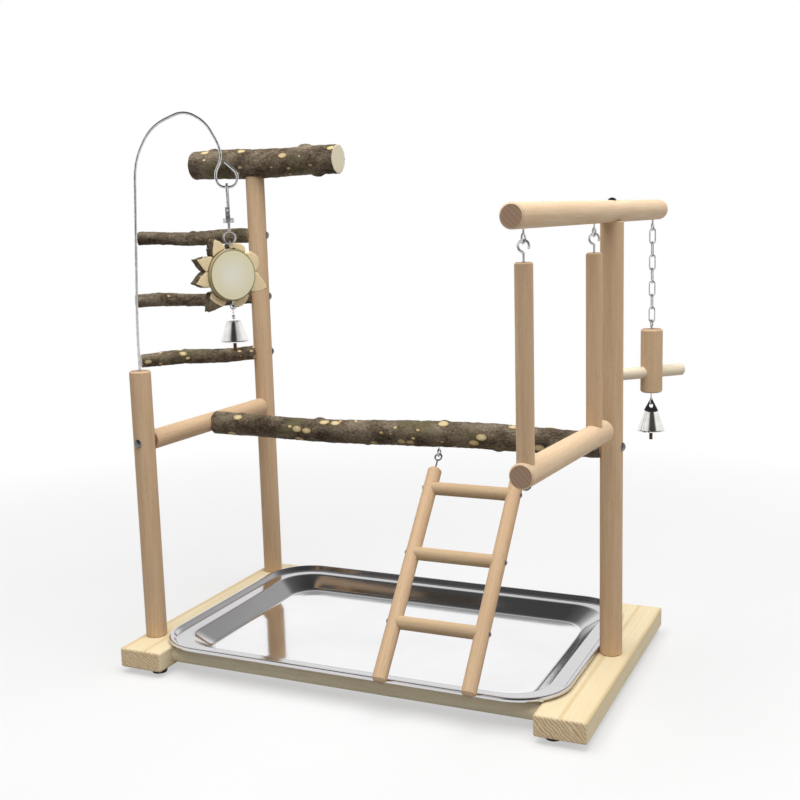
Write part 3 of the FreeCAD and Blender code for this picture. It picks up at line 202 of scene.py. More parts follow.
light = reckon(world, "MAXIMUM", reckon(world, "ADD", mirrored, dull), rays["Is Camera Ray"])
feed(world, light, world.node_tree.nodes["Background"].inputs["Strength"])
world.node_tree.nodes["Background"].inputs["Color"].default_value = (1, 1, 1, 1)

for name, spot, width, watts in LAMPS:
    aim = (LAMP_AIM - Vector(spot)).to_track_quat("-Z", "Y").to_euler()
    bpy.ops.object.light_add(type="AREA", location=spot, rotation=aim)
    lamp = bpy.context.object
    lamp.name = name
    lamp.data.size = width
    lamp.data.energy = watts
    lamp.visible_glossy = False

# ---------------------------------------------------------------------------
# Base beams: planed pine, pale yellow with straight darker grain along their
# length and coarse growth lines where the ends are sawn.

PINE_PALE, PINE_WARM, PINE_LINE = (0.92, 0.80, 0.55), (0.87, 0.72, 0.46), (0.70, 0.50, 0.24)
PINE_END, PINE_END_LINE = (0.98, 0.80, 0.54), (0.70, 0.46, 0.25)

# Grain: how fine each pattern is and how much it is drawn out along the wood.
FIBRE_FINE, FIBRE_DRAW = 520.0, 0.035
BLOTCH_FINE, BLOTCH_DRAW = 46.0, 0.12
FLECK_FINE, FLECK_DRAW = 1500.0, 0.12
STRIPE_DRAW, STRIPE_WAVER = 0.012, 3.5
RING_FLATTEN = 0.5
PORE_FINE = 1300.0
RING_SHARE, PORE_SHARE = 0.65, 0.35
WOOD_DULL, WOOD_SMOOTH = 0.74, 0.54
FIBRE_BUMP, FIBRE_HEIGHT = 0.25, 0.0003
WOOD_SHINE = 0.3
END_COSINE = 0.8


def wear(node_names, material):
    """Give carried-over pieces a material in place of their plain one."""
    for name in node_names:
        piece = cad[name]
        if not piece.material_slots:
            piece.data.materials.append(material)
        for held in piece.material_slots:
            held.material = material


def along_axes(material, place, along):
    """How far a place lies along a direction and along two others square to it."""
    along = Vector(along).normalized()
    side = along.orthogonal().normalized()
    reached = []
    for axis in (along, side, along.cross(side)):
        step = add_node(material, "ShaderNodeVectorMath", Vector=place)
        step.operation = "DOT_PRODUCT"
        step.inputs[1].default_value = axis
        reached.append(step.outputs["Value"])
    return reached


def drawn_out(material, reached, share):
    """A place whose run along the grain is squeezed, so that patterns are long that way."""
    run, across, deep = reached
    return add_node(material, "ShaderNodeCombineXYZ", X=across, Y=deep,
                    Z=reckon(material, "MULTIPLY", run, share)).outputs[0]


def faces_along(material, along):
    """One where a face looks along a direction, as a sawn end does."""
    facing = add_node(material, "ShaderNodeVectorMath",
                      Vector=material.node_tree.nodes["Texture Coordinate"].outputs["Normal"])
    facing.operation = "DOT_PRODUCT"
    facing.inputs[1].default_value = Vector(along).normalized()
    slant = reckon(material, "ABSOLUTE", facing.outputs["Value"])
    return reckon(material, "GREATER_THAN", slant, END_COSINE)


def grained_wood(name, along, colours, ends, stripes=0.0, ring_scale=130.0, ring_bend=5.0):
    """Bare wood: long fibres, short pores and soft blotches, with growth lines on its cut ends."""
    pale, warm, pore = colours
    material, shader, place = new_material(name)
    reached = along_axes(material, place, along)

    def drawn_noise(fineness, share, detail):
        return add_node(material, "ShaderNodeTexNoise", Vector=drawn_out(material, reached, share),
                        Scale=fineness, Detail=detail).outputs["Fac"]

    fibre = drawn_noise(FIBRE_FINE, FIBRE_DRAW, 5.0)
    broad = drawn_noise(BLOTCH_FINE, BLOTCH_DRAW, 3.0)
    dashes = drawn_noise(FLECK_FINE, FLECK_DRAW, 1.0)
    colour = colour_steps(material, fibre, (0.30, warm), (0.66, pale))
    blotch = colour_steps(material, broad, *greys([(0.40, 0.0), (0.70, 0.75)]))
    colour = blended(material, blotch, colour, warm)
    fleck = colour_steps(material, dashes, *greys([(0.64, 0.0), (0.72, 0.4)]))
    colour = blended(material, fleck, colour, pore)
    if stripes:
        ribs = add_node(material, "ShaderNodeTexWave", Vector=drawn_out(material, reached, STRIPE_DRAW),
                        Scale=stripes, Distortion=STRIPE_WAVER, Detail=2.0, Detail_Scale=0.5)
        line = colour_steps(material, ribs.outputs["Fac"], *greys([(0.86, 0.0), (0.99, 0.5)]))
        colour = blended(material, line, colour, pore)
    flattened = reckon(material, "MULTIPLY", reached[2], RING_FLATTEN)
    cut = add_node(material, "ShaderNodeCombineXYZ", X=reached[1], Y=flattened)
    rings = add_node(material, "ShaderNodeTexWave", Vector=cut.outputs[0], Scale=ring_scale,
                     Distortion=ring_bend, Detail=3.0, Detail_Scale=1.6)
    pores = add_node(material, "ShaderNodeTexNoise", Vector=place, Scale=PORE_FINE, Detail=2.0)
    growth = reckon(material, "ADD", reckon(material, "MULTIPLY", rings.outputs["Fac"], RING_SHARE),
                    reckon(material, "MULTIPLY", pores.outputs["Fac"], PORE_SHARE))
    end_colour = colour_steps(material, growth, (0.25, ends[0]), (0.80, ends[1]))
    colour = blended(material, faces_along(material, along), colour, end_colour)
    feed(material, colour, shader.inputs["Base Color"])
    feed(material, colour_steps(material, fibre, *greys([(0.3, WOOD_DULL), (0.7, WOOD_SMOOTH)])),
         shader.inputs["Roughness"])
    bump = add_node(material, "ShaderNodeBump", Height=fibre, Strength=FIBRE_BUMP, Distance=FIBRE_HEIGHT)
    feed(material, bump.outputs["Normal"], shader.inputs["Normal"])
    shader.inputs["Specular IOR Level"].default_value = WOOD_SHINE
    return material


planed_pine = grained_wood("planed_pine", (0, 1, 0), (PINE_PALE, PINE_WARM, PINE_LINE),
                           (PINE_END, PINE_END_LINE), stripes=17.0, ring_scale=105.0, ring_bend=7.0)
wear(["left_base_beam", "right_base_beam"], planed_pine)

# ---------------------------------------------------------------------------
# Round stock: sanded beech rods without varnish, pinkish tan, with short dark flecks
# along the grain, and the paler dowels that tie the base. The grain follows each piece.

BEECH = ((0.77, 0.555, 0.355), (0.68, 0.46, 0.275), (0.42, 0.26, 0.15))
BEECH_ENDS = ((0.47, 0.315, 0.215), (0.42, 0.27, 0.18))
# A copy of the beech painted lighter, as painted light, for the top dowel and the swing perch, which catch
# the most light on their tops.
BEECH_PAINTED_LIGHTER = ((0.87, 0.67, 0.455), (0.79, 0.57, 0.365), (0.50, 0.33, 0.20))
# A copy of the beech painted darker, as painted shade, for the ladder rungs, against the light the bright
# tray throws up on them.
RUNG_BEECH_PAINTED_DARKER = ((0.66, 0.485, 0.305), (0.58, 0.405, 0.24), (0.38, 0.24, 0.14))
BASE_DOWEL = ((0.90, 0.80, 0.58), (0.83, 0.71, 0.49), (0.58, 0.43, 0.26))
DOWEL_TURN = math.radians(4)
RAIL_LEAN = 0.017
LADDER_SLOPE = math.radians(49.235)


def beech(name, along, colours=BEECH):
    return grained_wood(name, along, colours, BEECH_ENDS, ring_scale=90.0, ring_bend=2.0)


upright_beech = beech("upright_beech", (0, 0, 1))
wear(["front_left_post", "rear_left_post", "right_post", "swing_front_arm", "swing_rear_arm", "toy_block"],
     upright_beech)
wear(["front_base_dowel", "rear_base_dowel"], beech("base_dowel_wood", (1, 0, 0), BASE_DOWEL))
# The ladder rungs wear the beech painted darker, as painted shade.
wear(["ladder_rungs"], beech("rung_beech", (1, 0, 0), RUNG_BEECH_PAINTED_DARKER))
wear(["left_rail"], beech("rail_beech", (RAIL_LEAN, 1, 0)))
# The top dowel and the swing perch wear the beech painted lighter, as painted light.
wear(["top_dowel", "swing_perch"],
     beech("swing_beech", (math.sin(DOWEL_TURN), math.cos(DOWEL_TURN), 0), BEECH_PAINTED_LIGHTER))
wear(["ladder_left_rail", "ladder_right_rail"],
     beech("ladder_beech", (0, math.cos(LADDER_SLOPE), math.sin(LADDER_SLOPE))))

# The cross perch of the chain toy is a paler dowel, pushed through the block.
CROSS_TURN = math.radians(46)
CROSS_WOOD = ((0.93, 0.84, 0.66), (0.88, 0.76, 0.57), (0.66, 0.50, 0.33))
CROSS_ENDS = ((0.80, 0.66, 0.48), (0.70, 0.54, 0.37))
wear(["toy_cross_perch"],
     grained_wood("pale_dowel", (math.cos(CROSS_TURN), math.sin(CROSS_TURN), 0), CROSS_WOOD, CROSS_ENDS))

# ---------------------------------------------------------------------------
# Bark perches: cut branches with the bark left on, olive brown and rough, with
# pale oval scars where twigs were cut, and pale sawn ends.

BARK_GRAIN = 0.0011
BARK_DEPTH = 0.0012
# The dark bark tone is partly the bark's own colour and partly painted shade for its hollows; the pale
# tone is partly painted highlight on its ridges.
BARK_DARK_AND_SHADE, BARK_BROWN, BARK_PALE_AND_LIT = (0.042, 0.030, 0.021), (0.132, 0.099, 0.067), (0.28, 0.228, 0.162)
BARK_MOSS = (0.19, 0.175, 0.085)
SCAR_PALE, SCAR_WARM, SCAR_RIM = (0.74, 0.62, 0.36), (0.50, 0.35, 0.17), (0.075, 0.050, 0.030)
# A scar: the spacing of its kind along the bark, and its size as a share of that.
BIG_SCAR, SMALL_SCAR = (0.0185, 0.205), (0.0125, 0.140)
SCAR_RAGGED, SCAR_RAISED = 0.06, 0.22
BARK_DRAW = 0.62
BARK_BROAD, BARK_FINE, MOSS_BROAD = 70.0, 560.0, 34.0
BROAD_SHARE, FINE_SHARE = 0.62, 0.38
BARK_BUMP, BARK_HEIGHT = 0.75, 0.0016
BARK_SHINE = 0.2
WELD = 1e-6
PIT_SIZE, WAVE_SIZE, WAVE_DEPTH = 0.006, 0.022, BARK_DEPTH * 1.3
END_DEPTH = 0.0004
SAWN = ((0.90, 0.82, 0.64), (0.85, 0.74, 0.53), (0.68, 0.52, 0.33))


def bark_material(name, along, scars):
    """Rough bark with pale scars where twigs were cut, each with a dark raised rim."""
    material, shader, place = new_material(name)
    reached = along_axes(material, place, along)
    grown = drawn_out(material, reached, BARK_DRAW)
    broad = add_node(material, "ShaderNodeTexNoise", Vector=grown, Scale=BARK_BROAD, Detail=6.0,
                     Roughness=0.62)
    fine = add_node(material, "ShaderNodeTexNoise", Vector=grown, Scale=BARK_FINE, Detail=4.0,
                    Roughness=0.7)
    mixed = reckon(material, "ADD", reckon(material, "MULTIPLY", broad.outputs["Fac"], BROAD_SHARE),
                   reckon(material, "MULTIPLY", fine.outputs["Fac"], FINE_SHARE))
    # The tone follows the bump's height: the bark's own mottling, with painted shade in the low places and
    # painted highlight on the ridges.
    colour = colour_steps(material, mixed, (0.37, BARK_DARK_AND_SHADE), (0.49, BARK_BROWN), (0.63, BARK_PALE_AND_LIT))
    moss = add_node(material, "ShaderNodeTexNoise", Vector=place, Scale=MOSS_BROAD, Detail=4.0)
    green = colour_steps(material, moss.outputs["Fac"], *greys([(0.53, 0.0), (0.66, 0.42)]))
    colour = blended(material, green, colour, BARK_MOSS)
    height = mixed
    for size, reach in scars:
        cells = add_node(material, "ShaderNodeTexVoronoi", Vector=grown, Scale=1 / size, Randomness=1.0)
        ragged = reckon(material, "ADD", cells.outputs["Distance"],
                        reckon(material, "MULTIPLY", fine.outputs["Fac"], SCAR_RAGGED))
        rim = colour_steps(material, ragged, *greys([(reach + 0.03, 1.0), (reach + 0.075, 0.0)]))
        wound = colour_steps(material, ragged, *greys([(reach + 0.01, 1.0), (reach + 0.03, 0.0)]))
        flesh = colour_steps(material, ragged, (reach * 0.55, SCAR_PALE), (reach + 0.02, SCAR_WARM))
        colour = blended(material, wound, blended(material, rim, colour, SCAR_RIM), flesh)
        height = reckon(material, "ADD", height, reckon(material, "MULTIPLY", rim, SCAR_RAISED))
    feed(material, colour, shader.inputs["Base Color"])
    feed(material, colour_steps(material, mixed, *greys([(0.4, 0.92), (0.6, 0.70)])),
         shader.inputs["Roughness"])
    bump = add_node(material, "ShaderNodeBump", Height=height, Strength=BARK_BUMP, Distance=BARK_HEIGHT)
    feed(material, bump.outputs["Normal"], shader.inputs["Normal"])
    shader.inputs["Specular IOR Level"].default_value = BARK_SHINE
    return material


def sawn_end(name, along):
    """A sawn end: cream wood with close faint rings."""
    return grained_wood(name, along, SAWN, (SAWN[0], SAWN[1]), ring_scale=150.0, ring_bend=3.0)


def welded_copy(node, name):
    """A copy of a carried-over piece with its loose triangles merged, ready for edit mode."""
    bpy.ops.object.select_all(action="DESELECT")
    piece = bpy.data.objects.new(name, cad[node].data.copy())
    scene.collection.objects.link(piece)
    piece.select_set(True)
    bpy.context.view_layer.objects.active = piece
    piece.data.materials.clear()
    bpy.ops.object.mode_set(mode="EDIT")
    bpy.ops.mesh.select_all(action="SELECT")
    bpy.ops.mesh.remove_doubles(threshold=WELD)
    bpy.ops.object.mode_set(mode="OBJECT")
    return piece


def apply_all(piece):
    for modifier in list(piece.modifiers):
        bpy.ops.object.modifier_apply(modifier=modifier.name)


def roughen(piece, depth, size, group, name):
    """Push a surface in and out by a cloud pattern, where its group allows."""
    clouds = bpy.data.textures.new(name, "CLOUDS")
    clouds.noise_scale = size
    clouds.noise_depth = 3
    push = piece.modifiers.new(name, "DISPLACE")
    push.texture = clouds
    push.texture_coords = "LOCAL"
    push.strength = depth
    push.mid_level = 0.5
    push.vertex_group = group


def bark_perch(node, along, scars):
    """A branch with a rough skin, and flat sawn ends in a paler wood."""
    along = Vector(along).normalized()
    perch = welded_copy(node, node + "_bark")
    remesh = perch.modifiers.new("skin", "REMESH")
    remesh.mode = "VOXEL"
    remesh.voxel_size = BARK_GRAIN
    apply_all(perch)
    mesh = perch.data
    reach = [v.co.dot(along) for v in mesh.vertices]
    first, last = min(reach) + END_DEPTH, max(reach) - END_DEPTH
    ends = {i for i, spot in enumerate(reach) if spot < first or spot > last}
    skin = perch.vertex_groups.new(name="skin")
    skin.add([v.index for v in mesh.vertices if v.index not in ends], 1.0, "REPLACE")
    roughen(perch, BARK_DEPTH, PIT_SIZE, "skin", node + "_rough")
    roughen(perch, WAVE_DEPTH, WAVE_SIZE, "skin", node + "_waves")
    apply_all(perch)
    mesh.materials.append(bark_material(node + "_skin", along, scars))
    mesh.materials.append(sawn_end(node + "_end", along))
    for face in mesh.polygons:
        face.use_smooth = True
        if all(i in ends for i in face.vertices):
            face.material_index = 1
    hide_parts(node)
    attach(perch, "stand")


PERCHES = [
    # the turn of its length from the stand's front-to-rear line in degrees, and its scars
    ("long_bark_perch", 90, (BIG_SCAR, SMALL_SCAR)),
    ("top_bark_perch", 90, (BIG_SCAR, SMALL_SCAR)),
    ("upper_step_perch", 65, ((0.0135, 0.090),)),
    ("middle_step_perch", 56, ((0.0165, 0.120), (0.011, 0.060))),
    ("lower_step_perch", 42, ((0.0140, 0.250), (0.0105, 0.170)))]
for node, degrees, scars in PERCHES:
    bark_perch(node, (math.sin(math.radians(degrees)), math.cos(math.radians(degrees)), 0), scars)

# ---------------------------------------------------------------------------
# Tray: one sheet of polished stainless steel, pressed with a rolled lip, a flat
# rim, sloping sides and a flat floor. Its corners get tighter towards the floor.

TRAY_LEVELS = [
    # inset, drop below the lip, corner radius
    (0.0, 0.0032, 0.0520), (0.0, 0.0012, 0.0520), (0.0004, 0.0004, 0.0516), (0.0014, 0.0, 0.0506),
    (0.0034, 0.0, 0.0486), (0.0046, 0.0008, 0.0474), (0.0070, 0.0036, 0.0450), (0.0082, 0.0044, 0.0438),
    (0.0100, 0.0046, 0.0422), (0.0192, 0.0046, 0.0404), (0.0206, 0.0048, 0.0398), (0.0222, 0.0057, 0.0388),
    (0.0360, 0.0160, 0.0312), (0.0376, 0.0171, 0.0302), (0.0396, 0.0179, 0.0286), (0.0424, 0.0182, 0.0262)]
TRAY_CORNER_STEPS = 20
TRAY_FLOOR_INSET = 0.012
TRAY_FLOOR_TOP = 0.0154
SHEET = 0.001
TRAY_SMOOTH = math.radians(38)

low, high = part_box("tray")
levels = []
for number, (inset, drop, corner) in enumerate(TRAY_LEVELS):
    bpy.ops.object.select_all(action="DESELECT")
    middle = ((low.x + high.x) / 2, (low.y + high.y) / 2, high.z - drop)
    bpy.ops.mesh.primitive_plane_add(size=1, location=middle)
    level = bpy.context.object
    level.scale = (high.x - low.x - 2 * inset, high.y - low.y - 2 * inset, 1)
    bpy.ops.object.transform_apply(location=True, rotation=True, scale=True)
    bpy.ops.object.mode_set(mode="EDIT")
    bpy.ops.mesh.select_all(action="SELECT")
    bpy.ops.mesh.bevel(offset=corner, segments=TRAY_CORNER_STEPS, affect="VERTICES")
    bpy.ops.mesh.select_all(action="SELECT")
    bpy.ops.mesh.delete(type="ONLY_FACE")
    bpy.ops.object.mode_set(mode="OBJECT")
    outline = level.vertex_groups.new(name="level_%d" % number)
    outline.add([v.index for v in level.data.vertices], 1.0, "REPLACE")
    levels.append(level)

pressed_tray = levels[0]
pressed_tray.name = "pressed_tray"
for level in levels:
    level.select_set(True)
bpy.context.view_layer.objects.active = pressed_tray
bpy.ops.object.join()
bpy.ops.object.mode_set(mode="EDIT")
bpy.ops.mesh.select_mode(type="VERT")
for number in range(len(TRAY_LEVELS) - 1):
    bpy.ops.mesh.select_all(action="DESELECT")
    for one in (number, number + 1):
        bpy.ops.object.vertex_group_set_active(group="level_%d" % one)
        bpy.ops.object.vertex_group_select()
    bpy.ops.mesh.bridge_edge_loops()
bpy.ops.mesh.select_all(action="DESELECT")
bpy.ops.object.vertex_group_select()
bpy.ops.mesh.edge_face_add()
bpy.ops.mesh.inset(thickness=TRAY_FLOOR_INSET)
bpy.ops.mesh.select_all(action="SELECT")
bpy.ops.mesh.normals_make_consistent(inside=False)
bpy.ops.object.mode_set(mode="OBJECT")
pressed_tray.vertex_groups.clear()
if max(pressed_tray.data.polygons, key=lambda face: face.area).normal.z < 0:
    pressed_tray.data.flip_normals()
wall = pressed_tray.modifiers.new("sheet", "SOLIDIFY")
wall.thickness = SHEET
wall.offset = -1
apply_all(pressed_tray)
bpy.ops.object.shade_smooth_by_angle(angle=TRAY_SMOOTH)

# The floor is polished bright. The rim and the sides are left a little duller by the press, and their
# steel colour is painted darker as painted shade, for the darker reflections they show.
STEEL_BRIGHT, STEEL_PAINTED_DARKER = (0.93, 0.93, 0.94), (0.68, 0.67, 0.68)
SMEAR_FINE = 11.0
BRUSH_DRAW = (4.0, 400.0, 400.0)
BRUSH_BUMP, BRUSH_HEIGHT = 0.03, 0.0002
polished_steel, shader, place = new_material("polished_steel")
smear = add_node(polished_steel, "ShaderNodeTexNoise", Vector=place, Scale=SMEAR_FINE, Detail=5.0)
smear = smear.outputs["Fac"]
drawn = add_node(polished_steel, "ShaderNodeMapping", Vector=place, Scale=BRUSH_DRAW)
brush = add_node(polished_steel, "ShaderNodeTexNoise", Vector=drawn.outputs[0], Scale=1.0, Detail=3.0)
height = add_node(polished_steel, "ShaderNodeSeparateXYZ", Vector=place).outputs["Z"]
# Above the floor, the rim and the sides: rougher, and painted darker as painted shade.
satin_and_painted_shade = reckon(polished_steel, "GREATER_THAN", height, TRAY_FLOOR_TOP)
clouded = colour_steps(polished_steel, smear, *greys([(0.35, 0.93), (0.65, 1.0)]))
steel = blended(polished_steel, satin_and_painted_shade, STEEL_BRIGHT, STEEL_PAINTED_DARKER)
feed(polished_steel, blended(polished_steel, 1.0, steel, clouded, "MULTIPLY"), shader.inputs["Base Color"])
gloss = colour_steps(polished_steel, smear, *greys([(0.3, 0.07), (0.7, 0.12)]))
sheen = colour_steps(polished_steel, smear, *greys([(0.3, 0.10), (0.7, 0.16)]))
feed(polished_steel, blended(polished_steel, satin_and_painted_shade, gloss, sheen), shader.inputs["Roughness"])
bump = add_node(polished_steel, "ShaderNodeBump", Height=brush.outputs["Fac"], Strength=BRUSH_BUMP,
                Distance=BRUSH_HEIGHT)
feed(polished_steel, bump.outputs["Normal"], shader.inputs["Normal"])
shader.inputs["Metallic"].default_value = 1
pressed_tray.data.materials.append(polished_steel)
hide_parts("tray")
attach(pressed_tray, "tray")

# ---------------------------------------------------------------------------
# Fixings and feet: blackened zinc screws with round heads, and moulded black
# rubber feet under the beams, a little dusty.

CLOUD_BUMP, CLOUD_HEIGHT = 0.05, 0.0002
DUST_FINE, DUST_BUMP, DUST_HEIGHT = 420.0, 0.3, 0.0003


def plated_metal(name, dark, bright, smooth, rough, size=260.0):
    """Plated metal with faint clouds in its colour and its polish."""
    material, shader, place = new_material(name)
    cloud = add_node(material, "ShaderNodeTexNoise", Vector=place, Scale=size, Detail=4.0)
    feed(material, colour_steps(material, cloud.outputs["Fac"], (0.35, dark), (0.65, bright)),
         shader.inputs["Base Color"])
    feed(material, colour_steps(material, cloud.outputs["Fac"], *greys([(0.3, smooth), (0.7, rough)])),
         shader.inputs["Roughness"])
    bump = add_node(material, "ShaderNodeBump", Height=cloud.outputs["Fac"], Strength=CLOUD_BUMP,
                    Distance=CLOUD_HEIGHT)
    feed(material, bump.outputs["Normal"], shader.inputs["Normal"])
    shader.inputs["Metallic"].default_value = 1
    return material


dark_zinc = plated_metal("dark_zinc", (0.13, 0.13, 0.14), (0.24, 0.24, 0.25), 0.28, 0.42)
wear(["foot_screws", "base_screws", "rail_screws", "long_perch_screws", "step_perch_screws", "top_screws",
      "swing_arm_screws", "ladder_screws"], dark_zinc)

black_rubber, shader, place = new_material("black_rubber")
dust = add_node(black_rubber, "ShaderNodeTexNoise", Vector=place, Scale=DUST_FINE, Detail=5.0)
feed(black_rubber, colour_steps(black_rubber, dust.outputs["Fac"], (0.4, (0.012, 0.012, 0.013)),
                                (0.72, (0.05, 0.048, 0.045))), shader.inputs["Base Color"])
feed(black_rubber, colour_steps(black_rubber, dust.outputs["Fac"], *greys([(0.3, 0.62), (0.7, 0.88)])),
     shader.inputs["Roughness"])
bump = add_node(black_rubber, "ShaderNodeBump", Height=dust.outputs["Fac"], Strength=DUST_BUMP,
                Distance=DUST_HEIGHT)
feed(black_rubber, bump.outputs["Normal"], shader.inputs["Normal"])
wear(["rubber_feet"], black_rubber)

# ---------------------------------------------------------------------------
# Wire goods: the crook, screw eyes, swing hooks, snap hook, swivel and chain are
# nickel-plated steel wire, bright with dark reflections.

bright_wire = plated_metal("bright_wire", (0.50, 0.50, 0.51), (0.72, 0.72, 0.73), 0.14, 0.25)
wear(["crook_wire", "dowel_screw_eyes", "perch_screw_eyes", "swing_hooks", "ladder_eyes", "snap_hook",
      "snap_lever", "swivel_eye", "flower_eyes", "upper_chain_links", "lower_chain_links", "block_eyes"],
     bright_wire)

# ---------------------------------------------------------------------------
# Flower: a sawn slice of branch, pale with close growth rings and a thin line of
# bark round its edge, with split wedges glued behind it that keep their dark bark.

DISC_TURN = math.radians(62)
DISC_RADIUS = 0.026
RING_SPACING = 0.0021
SLICE_PALE, SLICE_OUTER, SLICE_EDGE = (0.99, 0.97, 0.86), (0.88, 0.82, 0.56), (0.20, 0.17, 0.07)
SLICE_RING, SLICE_SIDE = (0.74, 0.65, 0.40), (0.60, 0.50, 0.30)
HEART_ASIDE, HEART_UP = 0.003, 0.003
RING_WAVER, RING_WAVER_FINE = 0.010, 55.0
RING_BUMP, RING_HEIGHT = 0.2, 0.0003
SAW_MARK_FINE, SAW_MARK_SHARE = 900.0, 0.25
low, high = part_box("flower_disc")
disc_middle = (low + high) / 2
across = Vector((math.cos(DISC_TURN), math.sin(DISC_TURN), 0))
outward = Vector((math.sin(DISC_TURN), -math.cos(DISC_TURN), 0))


def from_middle(material, place, axis):
    """How far a place lies from the disc's middle, along one direction."""
    step = add_node(material, "ShaderNodeVectorMath", Vector=place)
    step.operation = "DOT_PRODUCT"
    step.inputs[1].default_value = axis
    return reckon(material, "SUBTRACT", step.outputs["Value"], disc_middle.dot(axis))


sawn_slice, shader, place = new_material("sawn_slice")
wobble = add_node(sawn_slice, "ShaderNodeTexNoise", Vector=place, Scale=RING_WAVER_FINE, Detail=2.0)
sideways = from_middle(sawn_slice, place, across)
upwards = from_middle(sawn_slice, place, Vector((0, 0, 1)))


def apart(material, aside, up):
    """The length of a step sideways and a step up taken together."""
    return reckon(material, "SQRT", reckon(material, "ADD", reckon(material, "MULTIPLY", aside, aside),
                                           reckon(material, "MULTIPLY", up, up)))


share = reckon(sawn_slice, "DIVIDE", apart(sawn_slice, sideways, upwards), DISC_RADIUS)
heart = apart(sawn_slice, reckon(sawn_slice, "SUBTRACT", sideways, HEART_ASIDE),
              reckon(sawn_slice, "SUBTRACT", upwards, HEART_UP))
wavy = reckon(sawn_slice, "ADD", heart, reckon(sawn_slice, "MULTIPLY", wobble.outputs["Fac"], RING_WAVER))
ring = reckon(sawn_slice, "FRACT", reckon(sawn_slice, "DIVIDE", wavy, RING_SPACING))
wood = colour_steps(sawn_slice, share, (0.15, SLICE_PALE), (0.95, SLICE_OUTER))
ring = colour_steps(sawn_slice, ring, *greys([(0.55, 0.0), (1.0, 0.55)]))
wood = blended(sawn_slice, ring, wood, SLICE_RING)
fibres = add_node(sawn_slice, "ShaderNodeTexNoise", Vector=place, Scale=SAW_MARK_FINE, Detail=3.0)
marks = reckon(sawn_slice, "MULTIPLY", fibres.outputs["Fac"], SAW_MARK_SHARE)
wood = blended(sawn_slice, marks, wood, SLICE_OUTER)
edge = colour_steps(sawn_slice, share, *greys([(0.935, 0.0), (0.965, 1.0)]))
wood = blended(sawn_slice, edge, wood, SLICE_EDGE)
side = colour_steps(sawn_slice, share, *greys([(0.985, 0.0), (0.992, 0.75)]))
feed(sawn_slice, blended(sawn_slice, side, wood, SLICE_SIDE), shader.inputs["Base Color"])
feed(sawn_slice, colour_steps(sawn_slice, fibres.outputs["Fac"], *greys([(0.3, 0.6), (0.7, 0.8)])),
     shader.inputs["Roughness"])
bump = add_node(sawn_slice, "ShaderNodeBump", Height=ring, Strength=RING_BUMP, Distance=RING_HEIGHT)
feed(sawn_slice, bump.outputs["Normal"], shader.inputs["Normal"])
wear(["flower_disc"], sawn_slice)

# The wedges reach forward beside the disc, which is glued into them. Each is split
# to its own length, width and lean, and the bark is thickest on the lower left ones.
PETAL_GRAIN = 0.0008
PETAL_EDGE = DISC_RADIUS + 0.0005
PETAL_TIP = 0.046
SPLIT_WOOD = ((0.93, 0.78, 0.50), (0.87, 0.68, 0.40), (0.60, 0.40, 0.20))
PETAL_TAPER = 1.0
PETAL_FACE = 0.0008
SPLIT_PITS, SPLIT_WAVES = (0.0028, 0.004), (0.0030, 0.011)
SIDE_COSINE = 0.6
BARK_LEFT, BARK_BELOW, BARK_ABOVE, CRUST_REACH = 0.006, -0.012, 0.030, 0.033
PETAL_CUTS = [
    # direction in degrees, length, width and lean of its tip, and how far it stands forward
    (26, 1.08, 1.30, 0.15, 0.0040), (71, 1.12, 1.35, 0.20, 0.0040), (118, 1.0, 1.20, -0.12, 0.0040),
    (154, 0.91, 1.15, 0.08, 0.0040), (187, 0.90, 1.15, 0.10, 0.0040), (238, 1.0, 1.05, -0.15, 0.0015),
    (294, 1.04, 1.15, -0.05, 0.0015), (342, 1.02, 1.25, -0.10, 0.0040)]

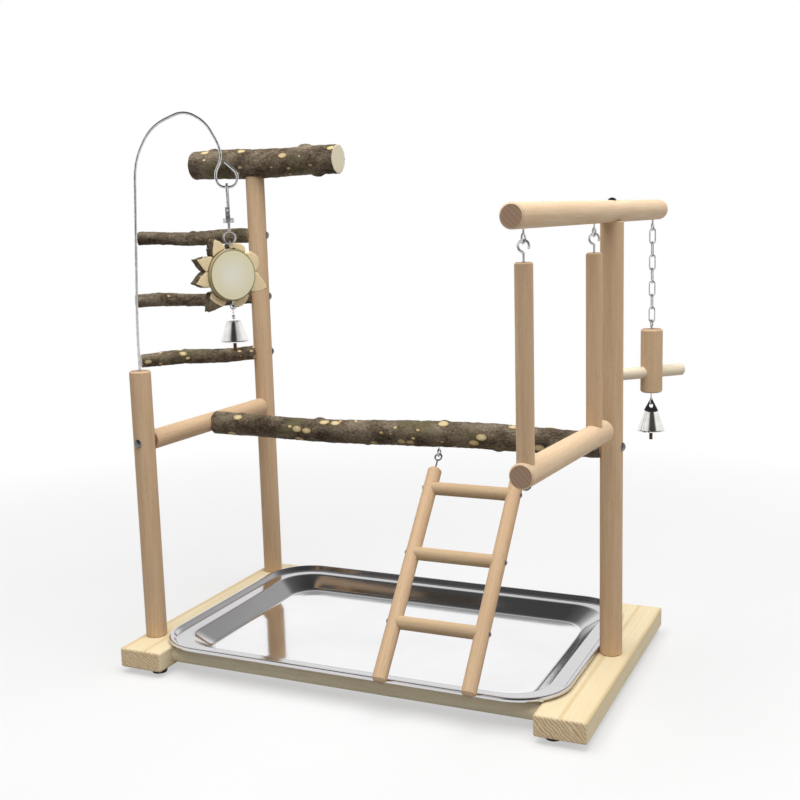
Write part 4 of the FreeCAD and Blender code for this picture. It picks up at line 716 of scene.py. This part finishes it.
petals = welded_copy("flower_petals", "bark_petals")
remesh = petals.modifiers.new("skin", "REMESH")
remesh.mode = "VOXEL"
remesh.voxel_size = PETAL_GRAIN
apply_all(petals)
mesh = petals.data
depths = [(v.co - disc_middle).dot(outward) for v in mesh.vertices]
back, front = min(depths), max(depths)
sides = petals.vertex_groups.new(name="sides")
sides.add([i for i, depth in enumerate(depths) if back + PETAL_FACE < depth < front - PETAL_FACE], 1.0,
          "REPLACE")
for vertex, depth in zip(mesh.vertices, depths):
    middle = vertex.co - disc_middle
    sideways, upwards = middle.dot(across), middle.z
    reach = math.hypot(sideways, upwards)
    turn = math.degrees(math.atan2(upwards, sideways))
    direction, length, width, lean, ahead = min(
        PETAL_CUTS, key=lambda cut: abs((turn - cut[0] + 180) % 360 - 180))
    if reach > PETAL_EDGE:
        aside = reach * math.sin(math.radians(turn - direction))
        out = reach * math.cos(math.radians(turn - direction))
        beyond = min(1, max(0, (out - PETAL_EDGE) / (PETAL_TIP - PETAL_EDGE)))
        aside = aside * (width - PETAL_TAPER * beyond * beyond) + lean * beyond * (PETAL_TIP - PETAL_EDGE)
        stretch = (length * PETAL_TIP - PETAL_EDGE) / (PETAL_TIP - PETAL_EDGE)
        out = PETAL_EDGE + (out - PETAL_EDGE) * stretch
        turned = math.radians(direction)
        flat = across * (out * math.cos(turned) - aside * math.sin(turned))
        flat.z = out * math.sin(turned) + aside * math.cos(turned)
        forward_by = ahead * (depth - back) / (front - back)
        vertex.co = disc_middle + flat + outward * (depth + forward_by)
roughen(petals, *SPLIT_PITS, "sides", "split_bark")
roughen(petals, *SPLIT_WAVES, "sides", "split_waves")
apply_all(petals)
mesh.materials.append(grained_wood("split_wood", outward, SPLIT_WOOD, (SPLIT_WOOD[0], SPLIT_WOOD[1]),
                                   ring_scale=170.0, ring_bend=3.0))
mesh.materials.append(bark_material("petal_bark", outward, ()))
for face in mesh.polygons:
    face.use_smooth = True
    middle = Vector(face.center) - disc_middle
    sideways, upwards = middle.dot(across), middle.z
    reach = math.hypot(sideways, upwards)
    on_side = abs(face.normal.dot(outward)) < SIDE_COSINE
    left_or_outer = sideways < BARK_LEFT or upwards < BARK_BELOW or upwards > BARK_ABOVE
    crusted = reach > CRUST_REACH and sideways < 0.0 and upwards < BARK_BELOW
    if reach > PETAL_EDGE and (on_side and left_or_outer or crusted):
        face.material_index = 1
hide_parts("flower_petals")
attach(petals, "flower")

# ---------------------------------------------------------------------------
# Bells: spun steel shells with bright plating, a dark bronze clapper in each, and
# a black plastic hanger that holds the bell of the chain toy.

bell_plating = plated_metal("bell_plating", (0.78, 0.77, 0.75), (0.90, 0.89, 0.87), 0.07, 0.14, 90.0)
wear(["flower_bell", "toy_bell"], bell_plating)
wear(["flower_clapper", "toy_clapper"],
     plated_metal("dark_bronze", (0.06, 0.03, 0.02), (0.14, 0.075, 0.045), 0.35, 0.5))

SCUFF_FINE = 700.0
black_plastic, shader, place = new_material("black_plastic")
scuff = add_node(black_plastic, "ShaderNodeTexNoise", Vector=place, Scale=SCUFF_FINE, Detail=3.0)
feed(black_plastic, colour_steps(black_plastic, scuff.outputs["Fac"], (0.4, (0.012, 0.012, 0.014)),
                                 (0.7, (0.035, 0.035, 0.04))), shader.inputs["Base Color"])
feed(black_plastic, colour_steps(black_plastic, scuff.outputs["Fac"], *greys([(0.3, 0.32), (0.7, 0.5)])),
     shader.inputs["Roughness"])
wear(["bell_hanger"], black_plastic)
